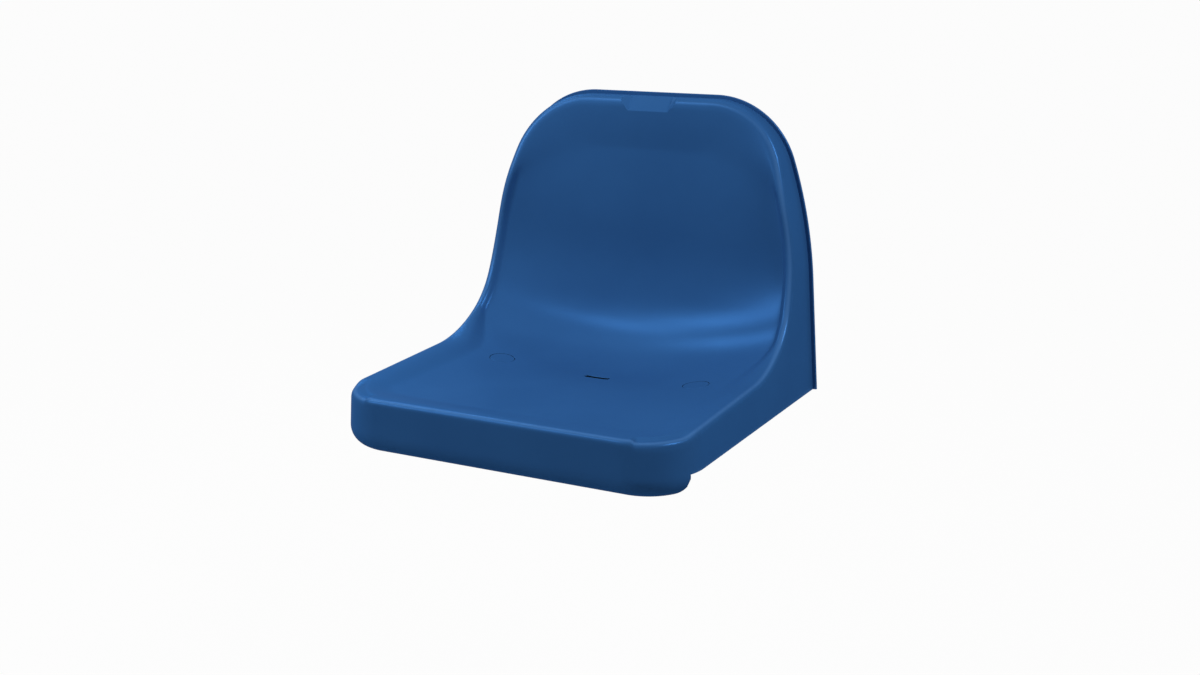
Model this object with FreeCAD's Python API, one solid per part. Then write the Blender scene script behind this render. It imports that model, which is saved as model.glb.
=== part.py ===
"""A fixed stadium seat: one moulded bucket shell, bolted down through two capped wells.

Millimetres. The origin is the middle of the two fixing points, on the plane that the seat
is bolted to. X runs across the seat, the sitter faces -Y, and +Z is up.
"""
import FreeCAD
import Part
import math
import os

Vector = FreeCAD.Vector

# Outline of the shell seen from the front
foot_half_width = 216.5
side_lean_deg = 4.0
shoulder_start_height = 137.0
shoulder_radius = 556.0
crown_radius = 102.0
back_height = 347.0

# Front corners
front_reach = 239.0
plan_corner_radius = 66.0

# Fascia: the deep front edge that hangs below the mounting plane
fascia_drop = 24.5
fascia_roll_radius = 24.0
fascia_lip_inset = 16.0
fascia_return = 43.0
fascia_end_radius = 20.0

# Moulding
wall = 4.0
bead_width = 9.0
bead_height = 3.4
bead_outer_chamfer = 2.2
bead_inner_chamfer = 1.4
flange_width = 4.5
flange_thickness = 3.6

# Rim line seen from the side: height at the front, then straight runs and tangent bends,
# the bends with their radii and the slope that the line has reached at the end of each
lip_height = 40.0
rim_pan_slope_deg = 2.2
rim_pan_length = 219.0
rim_bend_radii = (150.0, 95.0, 220.0)
rim_bend_slopes_deg = (35.0, 68.0, 88.0)
rim_back_length = 24.0
rim_lean_radius = 200.0
rim_lean_deg = 12.0

# Depth of the shell behind the rim line, at its top
top_depth = 26.9

# Middle line of the dish seen from the side, in the same order, and how much longer than the
# rim line it runs before its bends
dish_front_height = 36.4
dish_pan_slope_deg = -2.5
dish_pan_surplus = 36.0
dish_bend_radii = (130.0, 70.0, 260.0)
dish_bend_slopes_deg = (25.0, 70.0, 88.0)
dish_back_length = 60.0
dish_lean_radius = 400.0
dish_lean_deg = 4.6

# The rays that pair the two lines: the place that they fan out from, and how many there are
bend_hub_place = 0.0
bend_hub_height = 150.0
pan_sections = 4
bend_sections = 5
back_sections = 4

# Fixing wells
fixing_spacing = 260.0
well_radius = 13.0
well_wall = 3.6
well_floor = 8.0
bolt_hole_radius = 5.5

# Snap-in caps over the wells
cap_radius = 15.0
cap_thickness = 2.6
cap_gap = 0.3
clip_wall = 1.8
clip_depth = 9.0
clip_width = 7.0
clip_angles_deg = (45.0, 135.0, 225.0, 315.0)

# M10 bolts and their washers
bolt_radius = 5.0
bolt_length = 45.0
shank_radius = 4.8
pilot_radius = 4.0
pilot_length = 2.0
head_across_flats = 16.0
head_height = 6.4
head_chamfer = 0.8
flat_washer_radius = 10.0
flat_washer_thickness = 2.0
spring_washer_radius = 9.0
spring_washer_thickness = 2.2
spring_washer_split = 1.6
washer_clearance = 0.25

# Drain slot near the lowest place of the dish
drain_length = 33.0
drain_width = 8.0
drain_place = 3.0

# Number recess at the top of the back, left bare
recess_width = 54.0
recess_mouth_width = 88.0
recess_mouth_depth = 12.0
recess_foot_height = 329.0
recess_lean_deg = 38.0

# Ribs under the pan and behind the back
rib_thickness = 2.6
rib_depth = 9.0
long_rib_places = (65.0, 130.0)
pan_rib_places = (-140.0, -45.0)
back_rib_heights = (165.0, 255.0)

# How far cutting tools run past the surfaces that they cut
reach = 30.0

# Two shapes closer than this count as touching
touch = 0.01


def heading(angle_deg):
    """Unit direction in the side view, with the angle measured from +Y towards +Z."""
    angle = math.radians(angle_deg)
    return Vector(0, math.cos(angle), math.sin(angle))


def side_normal(angle_deg):
    """Unit normal of a side-view line, on the sitter's side of it."""
    angle = math.radians(angle_deg)
    return Vector(0, -math.sin(angle), math.cos(angle))


def profile_stations(height, slope_deg, pan_length, bends, back_length, lean_radius, lean_deg):
    """Points and headings along a side-view line of runs and tangent bends, front to top."""
    angle = slope_deg
    stations = [(Vector(0, -front_reach, height) - heading(angle) * reach, angle)]

    def run(length):
        start = stations[-1][0]
        stations.append((start + heading(angle) * length, angle))

    def bend(radius, end_angle):
        start, start_angle = stations[-1]
        turn = 1 if end_angle > start_angle else -1
        centre = start + side_normal(start_angle) * (radius * turn)
        for share in (0.5, 1.0):
            at = start_angle + (end_angle - start_angle) * share
            stations.append((centre - side_normal(at) * (radius * turn), at))

    run(reach)
    run(pan_length / 2)
    run(pan_length / 2)
    for radius, end_angle in bends:
        bend(radius, end_angle)
        angle = end_angle
    run(back_length)
    angle = 90 - lean_deg
    bend(lean_radius, angle)
    top_run = (back_height + reach - stations[-1][0].z) / heading(angle).z
    run(top_run / 2)
    run(top_run / 2)
    return stations


rim_stations = profile_stations(lip_height, rim_pan_slope_deg, rim_pan_length,
                                zip(rim_bend_radii, rim_bend_slopes_deg),
                                rim_back_length, rim_lean_radius, rim_lean_deg)
dish_stations = profile_stations(dish_front_height, dish_pan_slope_deg,
                                 rim_pan_length + dish_pan_surplus,
                                 zip(dish_bend_radii, dish_bend_slopes_deg),
                                 dish_back_length, dish_lean_radius, dish_lean_deg)

# The last run of the rim line is straight, so its place at the top of the back lies on it
rim_top_place = rim_stations[-1][0].y - reach / math.tan(math.radians(rim_stations[-1][1]))
rear_reach = rim_top_place + top_depth


def line(start, end):
    return Part.LineSegment(start, end).toShape()


def arc(start, middle, end):
    return Part.Arc(start, middle, end).toShape()


def polygon(points):
    return Part.makePolygon(list(points) + [points[0]])


def prism(wire, direction):
    return Part.Face(wire).extrude(direction)


def side_edges(stations, offset):
    """Edges of a side-view line, moved into the material by offset."""
    points = [point - side_normal(angle) * offset for point, angle in stations]
    edges = []
    first = 0
    while first < len(points) - 1:
        bent = stations[first + 1][1] != stations[first][1]
        if bent:
            edges.append(arc(points[first], points[first + 1], points[first + 2]))
        else:
            edges.append(line(points[first], points[first + 1]))
        first += 2 if bent else 1
    return edges


def rim_region():
    """Everything below and behind the rim line, across the whole width."""
    half = foot_half_width + reach
    edges = side_edges(rim_stations, 0)
    start = rim_stations[0][0]
    top = rim_stations[-1][0]
    rear = rear_reach + reach
    floor = -fascia_drop - reach
    corners = [top, Vector(0, rear, top.z), Vector(0, rear, floor), Vector(0, start.y, floor), start]
    edges += [line(corners[i], corners[i + 1]) for i in range(4)]
    wire = Part.Wire(edges)
    wire.translate(Vector(-half, 0, 0))
    return prism(wire, Vector(2 * half, 0, 0))


def arch_wire(inset, floor):
    """Front outline of the shell, moved inwards by inset and closed along a floor."""
    lean = math.radians(side_lean_deg)
    outward = Vector(math.cos(lean), 0, math.sin(lean))
    upward = Vector(-math.sin(lean), 0, math.cos(lean))
    foot = Vector(foot_half_width, 0, 0)
    shoulder = foot + upward * (shoulder_start_height / math.cos(lean))
    shoulder_centre = shoulder - outward * shoulder_radius
    crown_height = back_height - crown_radius
    rise = crown_height - shoulder_centre.z
    gap = shoulder_radius - crown_radius
    crown_centre = Vector(shoulder_centre.x + math.sqrt(gap ** 2 - rise ** 2), 0, crown_height)
    junction = (crown_centre - shoulder_centre).normalize()

    def on(centre, radius, direction):
        return centre + direction.normalize() * (radius - inset)

    low = foot - outward * inset
    low = low - upward * ((low.z - floor) / upward.z)
    begin = shoulder - outward * inset
    middle = on(shoulder_centre, shoulder_radius, outward + junction)
    meet = on(shoulder_centre, shoulder_radius, Vector(junction))
    round_top = on(crown_centre, crown_radius, junction + Vector(0, 0, 1))
    top = on(crown_centre, crown_radius, Vector(0, 0, 1))

    def mirror(point):
        return Vector(-point.x, point.y, point.z)

    right = [line(low, begin), arc(begin, middle, meet), arc(meet, round_top, top)]
    left = [arc(mirror(top), mirror(round_top), mirror(meet)),
            arc(mirror(meet), mirror(middle), mirror(begin)),
            line(mirror(begin), mirror(low))]
    return Part.Wire(right + [line(top, mirror(top))] + left + [line(mirror(low), low)])


def arch_block(inset, floor, rear):
    """Solid arch from the front face to rear, with its two front corners rounded in plan."""
    front = -front_reach + inset
    wire = arch_wire(inset, floor)
    wire.translate(Vector(0, front, 0))
    block = prism(wire, Vector(0, rear - front, 0))
    corners = [edge for edge in block.Edges
               if all(abs(v.Y - front) < 0.01 for v in edge.Vertexes)
               and min(v.Z for v in edge.Vertexes) < floor + 0.01
               and max(v.Z for v in edge.Vertexes) > 0]
    return block.makeFillet(plan_corner_radius - inset, corners)


def fan_rays():
    """Side-view rays across both lines: down to the pan, round the bend, back to the back."""
    hub = Vector(0, bend_hub_place, bend_hub_height)
    far = front_reach + rear_reach
    front = -front_reach - reach / 2
    starts = [(Vector(0, front + (hub.y - front) * i / pan_sections, hub.z), -90)
              for i in range(pan_sections)]
    starts += [(hub, -90 + 90 * i / bend_sections) for i in range(bend_sections)]
    climb = back_height + reach / 2 - hub.z
    starts += [(hub + Vector(0, 0, climb * i / back_sections), 0) for i in range(back_sections + 1)]
    return [line(start, start + heading(angle) * far) for start, angle in starts]


def dish_face(offset):
    """The dished surface as one face, moved into the material by offset.

    Across the seat it is a shallow parabola from rim to rim. Along the seat its three rows of
    poles are smooth curves through points of the rim line and the middle line.
    """
    half_dish = foot_half_width - bead_width
    half = foot_half_width + reach
    spread = (half / half_dish) ** 2
    across = Vector(half, 0, 0)
    rim_line = Part.Wire(side_edges(rim_stations, bead_height + offset))
    dish_line = Part.Wire(side_edges(dish_stations, offset))
    rows = [[], [], []]
    places = [0.0]
    for ray in fan_rays():
        edge_point = ray.distToShape(rim_line)[1][0][0]
        low_point = ray.distToShape(dish_line)[1][0][0]
        far_point = low_point + (edge_point - low_point) * spread
        pull_point = low_point * 2 - far_point
        if rows[0]:
            places.append(places[-1] + (far_point - across - rows[0][-1]).Length
                          + (pull_point - rows[1][-1]).Length)
        for row, point in zip(rows, (far_point - across, pull_point, far_point + across)):
            row.append(point)
    tracks = []
    for row in rows:
        track = Part.BSplineCurve()
        track.interpolate(Points=row, Parameters=places)
        tracks.append(track)
    surface = Part.BSplineSurface()
    surface.buildFromPolesMultsKnots([track.getPoles() for track in tracks], [3, 3],
                                     tracks[0].getMultiplicities(), [0, 1], tracks[0].getKnots(),
                                     False, False, 2, 3)
    # Two knots across the width let a mesher divide the surface more evenly
    for share in (1 / 3, 2 / 3):
        surface.insertUKnot(share, 1, 0)
    return surface.toShape()


def sitter_space(offset):
    """The space on the sitter's side of the dish, moved into the material by offset."""
    return dish_face(offset).extrude(Vector(0, -1, 1) * (2 * reach))


def edges_between(shape, near_one, near_other):
    """Edges of shape whose points all lie on both of two surfaces."""
    found = []
    for edge in shape.Edges:
        length = edge.LastParameter - edge.FirstParameter
        samples = [Part.Vertex(edge.valueAt(edge.FirstParameter + share * length))
                   for share in (0.05, 0.35, 0.65, 0.95)]
        if all(sample.distToShape(near_one)[0] < touch and sample.distToShape(near_other)[0] < touch
               for sample in samples):
            found.append(edge)
    return found


def rim_surface(region):
    """The faces of the rim region that follow the rim line itself."""
    return Part.Compound([face for face in region.Faces
                          if face.BoundBox.XLength > 2 * foot_half_width
                          and face.BoundBox.YMax < rear_reach
                          and face.BoundBox.ZMin > 0])


def standing_faces(block):
    """The walls and the top of an arch block, without its floor."""
    return Part.Compound([face for face in block.Faces
                          if face.BoundBox.ZLength > touch or face.BoundBox.ZMin > 0])


def fascia_end_tool():
    """What is cut from below the mounting plane behind the rounded ends of the fascia."""
    half = foot_half_width + reach
    end = -front_reach + fascia_return
    low = -fascia_drop
    begin = end - fascia_end_radius
    rise = fascia_end_radius
    diagonal = rise * math.sqrt(0.5)
    rear = rear_reach + reach
    edges = [line(Vector(0, begin, low - reach), Vector(0, begin, low)),
             arc(Vector(0, begin, low),
                 Vector(0, begin + diagonal, low + rise - diagonal),
                 Vector(0, end, low + rise)),
             line(Vector(0, end, low + rise), Vector(0, end, 0)),
             line(Vector(0, end, 0), Vector(0, rear, 0)),
             line(Vector(0, rear, 0), Vector(0, rear, low - reach)),
             line(Vector(0, rear, low - reach), Vector(0, begin, low - reach))]
    wire = Part.Wire(edges)
    wire.translate(Vector(-half, 0, 0))
    return prism(wire, Vector(2 * half, 0, 0))


def floor_edges(block, floor):
    """The edges round a block's floor, without the one at its rear."""
    return [edge for edge in block.Edges
            if all(abs(vertex.Z - floor) < touch for vertex in edge.Vertexes)
            and edge.BoundBox.YMin < rear_reach - touch]


def outer_form(region):
    """The shell as a full body: arch outline, rim line, bevelled bead edge and rolled fascia."""
    block = arch_block(0, -fascia_drop, rear_reach)
    block = block.makeFillet(fascia_roll_radius, floor_edges(block, -fascia_drop))
    body = block.common(region)
    edges = edges_between(body, rim_surface(region), standing_faces(block))
    body = body.makeChamfer(bead_outer_chamfer, edges)
    flange = arch_wire(-flange_width, 0)
    flange.translate(Vector(0, rear_reach - flange_thickness, 0))
    body = body.cut(fascia_end_tool())
    return body.fuse(prism(flange, Vector(0, flange_thickness, 0)))


def hollow_form(region):
    """The open space under the pan and behind the back, inside the walls."""
    space = arch_block(wall, wall - fascia_drop, rear_reach + reach)
    # A bevel that keeps the wall thickness at the middle of the roll outside it
    bevel = (2 - math.sqrt(2)) * (fascia_roll_radius - wall)
    space = space.makeChamfer(bevel, floor_edges(space, wall - fascia_drop))
    mouth = arch_block(fascia_lip_inset, -fascia_drop - reach, rear_reach + reach)
    mouth = mouth.cut(Part.makeBox(4 * foot_half_width, 4 * front_reach, 2 * back_height,
                                   Vector(-2 * foot_half_width, -2 * front_reach, 0)))
    return space.fuse(mouth).common(region).cut(sitter_space(wall))


def recess_tool(grow):
    """Trough along the leaning number facet, grown outwards by grow."""
    lean = math.radians(recess_lean_deg)
    up = Vector(0, math.sin(lean), math.cos(lean))
    out = Vector(0, -math.cos(lean), math.sin(lean))
    flare = (recess_mouth_width - recess_width) / 2 / recess_mouth_depth
    foot = Vector(0, dish_depth_at(recess_foot_height), recess_foot_height)
    start = foot - up * reach - out * grow
    low_half = recess_width / 2 + grow * (math.sqrt(1 + flare ** 2) - flare)
    high_half = low_half + flare * (reach + grow)
    across_low = Vector(low_half, 0, 0)
    across_high = Vector(high_half, 0, 0)
    rise = out * (reach + grow)
    return prism(polygon([start - across_low, start + across_low, start + rise + across_high,
                          start + rise - across_high]), up * (3 * reach))


def dish_height_at(x, y):
    """Height of the dish surface above a point of the mounting plane."""
    plumb = line(Vector(x, y, -reach), Vector(x, y, back_height))
    return plumb.common(sitter_space(0)).BoundBox.ZMin


def dish_depth_at(z):
    """Distance of the middle of the back from the origin along Y, at height z."""
    level = line(Vector(0, -front_reach, z), Vector(0, rear_reach, z))
    return level.common(sitter_space(0)).BoundBox.YMax


def rib_grid():
    """Ribs that follow the pan and the back on their hidden side."""
    band = arch_block(wall / 2, wall, rear_reach - flange_thickness)
    band = band.common(sitter_space(wall + rib_depth)).cut(sitter_space(wall / 2))
    half = long_rib_places[-1]
    plates = []
    for place in long_rib_places:
        for side in (-1, 1):
            corner = Vector(side * place - rib_thickness / 2, -front_reach, 0)
            plates.append(Part.makeBox(rib_thickness, front_reach + rear_reach, back_height, corner))
    pan_top = dish_height_at(0, 0) + 2 * reach
    for place in pan_rib_places:
        corner = Vector(-half, place - rib_thickness / 2, 0)
        plates.append(Part.makeBox(2 * half, rib_thickness, pan_top, corner))
    for height in back_rib_heights:
        corner = Vector(-half, 0, height - rib_thickness / 2)
        plates.append(Part.makeBox(2 * half, rear_reach, rib_thickness, corner))
    grid = plates[0].fuse(plates[1:])
    return band.common(grid)


def cylinder(radius, low, high, x=0.0):
    return Part.makeCylinder(radius, high - low, Vector(x, 0, low))


def drain_hole():
    radius = drain_width / 2
    half = drain_length / 2 - radius
    slot = Part.makeBox(2 * half, drain_width, back_height, Vector(-half, -radius, 0))
    for x in (-half, half):
        slot = slot.fuse(cylinder(radius, 0, back_height, x))
    slot.translate(Vector(0, drain_place, 0))
    return slot


def above_cap(x, depth):
    """Box over the plane that the four sides of a cap share with the dish, lowered by depth."""
    places = [(x - cap_radius, 0), (x + cap_radius, 0), (x, -cap_radius), (x, cap_radius)]
    west, east, south, north = [Vector(px, py, dish_height_at(px, py)) for px, py in places]
    normal = (east - west).cross(north - south).normalize()
    corner = (west + east + south + north) * 0.25 - normal * depth
    side = 4 * cap_radius
    box = Part.makeBox(side, side, side, Vector(-side / 2, -side / 2, 0))
    box.Placement = FreeCAD.Placement(corner, FreeCAD.Rotation(Vector(0, 0, 1), normal))
    return box


def well_tool(x):
    """What a fixing well takes out of the shell: cap seat, well and bolt hole."""
    high = dish_height_at(x, 0) + reach
    seat = cylinder(cap_radius + cap_gap, well_floor, high, x)
    seat = seat.common(above_cap(x, cap_thickness + cap_gap))
    well = cylinder(well_radius, well_floor, high, x)
    hole = cylinder(bolt_hole_radius, -reach, well_floor + reach, x)
    return seat.fuse([well, hole])


def seat_shell():
    region = rim_region()
    outside = outer_form(region)
    shell = outside.cut(hollow_form(region))
    backing = recess_tool(wall).common(outside)
    well = cylinder(well_radius + well_wall, 0, dish_height_at(fixing_spacing / 2, 0) + reach)
    wells = [well.translated(Vector(side * fixing_spacing / 2, 0, 0)).cut(sitter_space(wall / 2))
             for side in (-1, 1)]
    shell = shell.fuse([rib_grid(), backing] + wells)
    inset = arch_block(bead_width, -fascia_drop, rear_reach)
    shell = shell.cut(sitter_space(0).common(inset))
    edges = edges_between(shell, rim_surface(region), standing_faces(inset))
    shell = shell.makeChamfer(bead_inner_chamfer, edges)
    shell = shell.cut([drain_hole(), recess_tool(0)])
    for side in (-1, 1):
        shell = shell.cut(well_tool(side * fixing_spacing / 2))
    return shell


def fixing_cap(x):
    """Disc flush with the dish, with four straight legs that clip into the well."""
    high = dish_height_at(x, 0) + reach
    low = dish_height_at(x, 0) - cap_thickness - clip_depth
    cap = cylinder(cap_radius, low, high, x).common(above_cap(x, cap_thickness)).cut(above_cap(x, 0))
    outside = math.sqrt((well_radius - cap_gap) ** 2 - (clip_width / 2) ** 2)
    legs = []
    for angle in clip_angles_deg:
        leg = Part.makeBox(clip_wall, clip_width, high - low,
                           Vector(outside - clip_wall, -clip_width / 2, low))
        leg.rotate(Vector(0, 0, 0), Vector(0, 0, 1), angle)
        leg.translate(Vector(x, 0, 0))
        legs.append(leg.cut(above_cap(x, cap_thickness / 2)))
    return cap.fuse(legs).removeSplitter()


def washer(radius, thickness, low, x):
    hole = bolt_radius + washer_clearance
    return cylinder(radius, low, low + thickness, x).cut(cylinder(hole, low, low + thickness, x))


def spring_washer(x):
    low = well_floor + flat_washer_thickness
    ring = washer(spring_washer_radius, spring_washer_thickness, low, x)
    split = Part.makeBox(spring_washer_radius, spring_washer_split, spring_washer_thickness,
                         Vector(x, -spring_washer_split / 2, low))
    return ring.cut(split)


def fixing_bolt(x):
    """Hexagon head bolt: chamfered head, reduced shank, thread below the plane and pilot end."""
    low = well_floor + flat_washer_thickness + spring_washer_thickness
    corner_radius = head_across_flats / math.sqrt(3)
    corners = [Vector(x + corner_radius * math.cos(math.radians(60 * i)),
                      corner_radius * math.sin(math.radians(60 * i)), low) for i in range(6)]
    head = prism(polygon(corners), Vector(0, 0, head_height))
    top = low + head_height
    slope = Part.makeCone(corner_radius + head_chamfer * 2, head_across_flats / 2, head_height,
                          Vector(x, 0, low))
    head = head.common(slope.fuse(cylinder(corner_radius, low, top - head_chamfer, x)))
    end = low - bolt_length
    shank = cylinder(shank_radius, 0, low + head_height / 2, x)
    thread = cylinder(bolt_radius, end + pilot_length, 0, x)
    pilot = cylinder(pilot_radius, end, low, x)
    return head.fuse([shank, thread, pilot])


def write(name, shape):
    solids = shape.Solids
    if len(solids) != 1 or not solids[0].isValid():
        raise ValueError(name + " is not one valid solid")
    solids[0].exportStep("parts/" + name + ".step")
    print(name, round(solids[0].Volume / 1000, 2), "cm3")


def main():
    os.makedirs("parts", exist_ok=True)
    write("seat_shell", seat_shell())
    flat_low = well_floor
    for name, side in (("left", -1), ("right", 1)):
        x = side * fixing_spacing / 2
        write("fixing_cap_" + name, fixing_cap(x))
        write("flat_washer_" + name, washer(flat_washer_radius, flat_washer_thickness, flat_low, x))
        write("spring_washer_" + name, spring_washer(x))
        write("fixing_bolt_" + name, fixing_bolt(x))


main()
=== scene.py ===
"""Looks of a moulded stadium seat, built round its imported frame.

Metres, in the frame's own axes: X runs across the seat, the sitter faces -Y and +Z is up.
"""
import logging
import math
from collections.abc import Callable
from dataclasses import dataclass
from enum import Enum

import bmesh
import bpy
import numpy as np
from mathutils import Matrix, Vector


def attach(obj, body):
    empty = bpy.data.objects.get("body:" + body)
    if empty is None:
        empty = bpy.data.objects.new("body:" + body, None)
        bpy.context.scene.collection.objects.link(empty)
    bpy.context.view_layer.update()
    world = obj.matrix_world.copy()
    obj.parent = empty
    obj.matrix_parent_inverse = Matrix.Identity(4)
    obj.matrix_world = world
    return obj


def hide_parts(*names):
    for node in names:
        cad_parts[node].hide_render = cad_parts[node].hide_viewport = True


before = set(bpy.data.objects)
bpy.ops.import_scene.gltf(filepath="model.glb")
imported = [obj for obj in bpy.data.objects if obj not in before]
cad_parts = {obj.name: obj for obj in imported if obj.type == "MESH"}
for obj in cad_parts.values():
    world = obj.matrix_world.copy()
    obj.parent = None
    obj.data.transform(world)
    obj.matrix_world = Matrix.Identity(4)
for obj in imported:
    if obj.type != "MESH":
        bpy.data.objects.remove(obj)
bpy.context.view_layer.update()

CAPTION = "[%(name)s] %(message)s"
WHITE = (1, 1, 1, 1)
MERGE_DISTANCE = 1e-5
HAIR = 1e-6
ROUND_TURNS = np.radians([22.5, 45, 67.5, 90])

log = logging.getLogger("stadium_seat")

Rings = list[np.ndarray]
Colour = tuple[float, float, float]


class Layer(Enum):
    """A share from 0 to 1 that every point of a mesh carries."""

    # The painted highlight along the bead's crest, as a share on each point.
    CREST_HIGHLIGHT = "rubbed_crest"
    GIVE = "soft_crown"


class Level(Enum):
    """What a level of a side view is measured along."""

    DEPTH = 0
    HEIGHT = 1


class Side(Enum):
    """The sides of the seat, as its front is looked at."""

    LEFT = "left"
    RIGHT = "right"


@dataclass(frozen=True)
class SideLine:
    """A side-view line of straight runs and tangent bends, drawn from the front to the top."""

    height: float
    slope_deg: float
    pan_length: float
    bends: tuple[tuple[float, float], ...]
    back_length: float
    lean_radius: float
    lean_deg: float

    def trace(self, front: float, lead: float, top: float) -> "Trace":
        """Samples the line closely.

        Args:
            front: Y of the front plane, where the line's height is given.
            lead: how far the line starts before the front plane.
            top: length of its last straight run.

        Returns:
            The sampled line, with its run measured from the front plane.
        """
        pieces = [(lead + self.pan_length, self.slope_deg)]

        def turn(radius: float, end: float) -> None:
            """Adds a bend that ends at a slope."""
            pieces.append((radius * math.radians(abs(end - pieces[-1][1])), end))

        for radius, end in self.bends:
            turn(radius, end)
        pieces.append((self.back_length, pieces[-1][1]))
        turn(self.lean_radius, 90 - self.lean_deg)
        pieces.append((top, pieces[-1][1]))
        knots = np.concatenate([[0], np.cumsum([length for length, _ in pieces])])
        angles = np.radians([self.slope_deg] + [end for _, end in pieces])
        run = np.arange(0, knots[-1], Trace.STEP)
        angle = np.interp(run, knots, angles)
        middle = (angle[1:] + angle[:-1]) / 2
        y = np.concatenate([[0], np.cumsum(np.cos(middle))]) * Trace.STEP
        z = np.concatenate([[0], np.cumsum(np.sin(middle))]) * Trace.STEP
        slope = math.radians(self.slope_deg)
        return Trace(run - lead, y + front - lead * math.cos(slope),
                     z + self.height - lead * math.sin(slope), angle)


@dataclass(frozen=True)
class Trace:
    """A closely sampled side-view line."""

    STEP = 0.00025

    run: np.ndarray
    y: np.ndarray
    z: np.ndarray
    angle: np.ndarray

    def moved(self, offset: float) -> "Trace":
        """The same line, moved into the material by offset."""
        return Trace(self.run, self.y + np.sin(self.angle) * offset,
                     self.z - np.cos(self.angle) * offset, self.angle)

    def at(self, run: np.ndarray) -> tuple[np.ndarray, np.ndarray, np.ndarray]:
        """Y, Z and angle of the line at some runs."""
        return (np.interp(run, self.run, self.y), np.interp(run, self.run, self.z),
                np.interp(run, self.run, self.angle))


def ease(value: np.ndarray, start: float, end: float) -> np.ndarray:
    """A share that eases from 0 at start to 1 at end."""
    share = np.clip((value - start) / (end - start), 0, 1)
    return share ** 2 * (3 - 2 * share)


def smooth_through(places: np.ndarray, values: np.ndarray, wanted: np.ndarray) -> np.ndarray:
    """Evaluates the smooth cubic curve through some values.

    Args:
        places: where the values are given, rising.
        values: one row for each place.
        wanted: the places to evaluate.

    Returns:
        One row of values for each wanted place.
    """
    gaps = np.diff(places)
    slopes = np.diff(values, axis=0) / gaps[:, None]
    system = np.eye(len(places))
    right = np.zeros_like(values)
    for i in range(1, len(places) - 1):
        system[i, i - 1:i + 2] = gaps[i - 1], 2 * (gaps[i - 1] + gaps[i]), gaps[i]
        right[i] = 6 * (slopes[i] - slopes[i - 1])
    bend = np.linalg.solve(system, right)
    i = np.clip(np.searchsorted(places, wanted) - 1, 0, len(gaps) - 1)
    gap = gaps[i][:, None]
    after = (wanted - places[i])[:, None]
    before = gap - after
    return (bend[i] * before ** 3 + bend[i + 1] * after ** 3) / (6 * gap) + (
        (values[i] / gap - bend[i] * gap / 6) * before
        + (values[i + 1] / gap - bend[i + 1] * gap / 6) * after)


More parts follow.
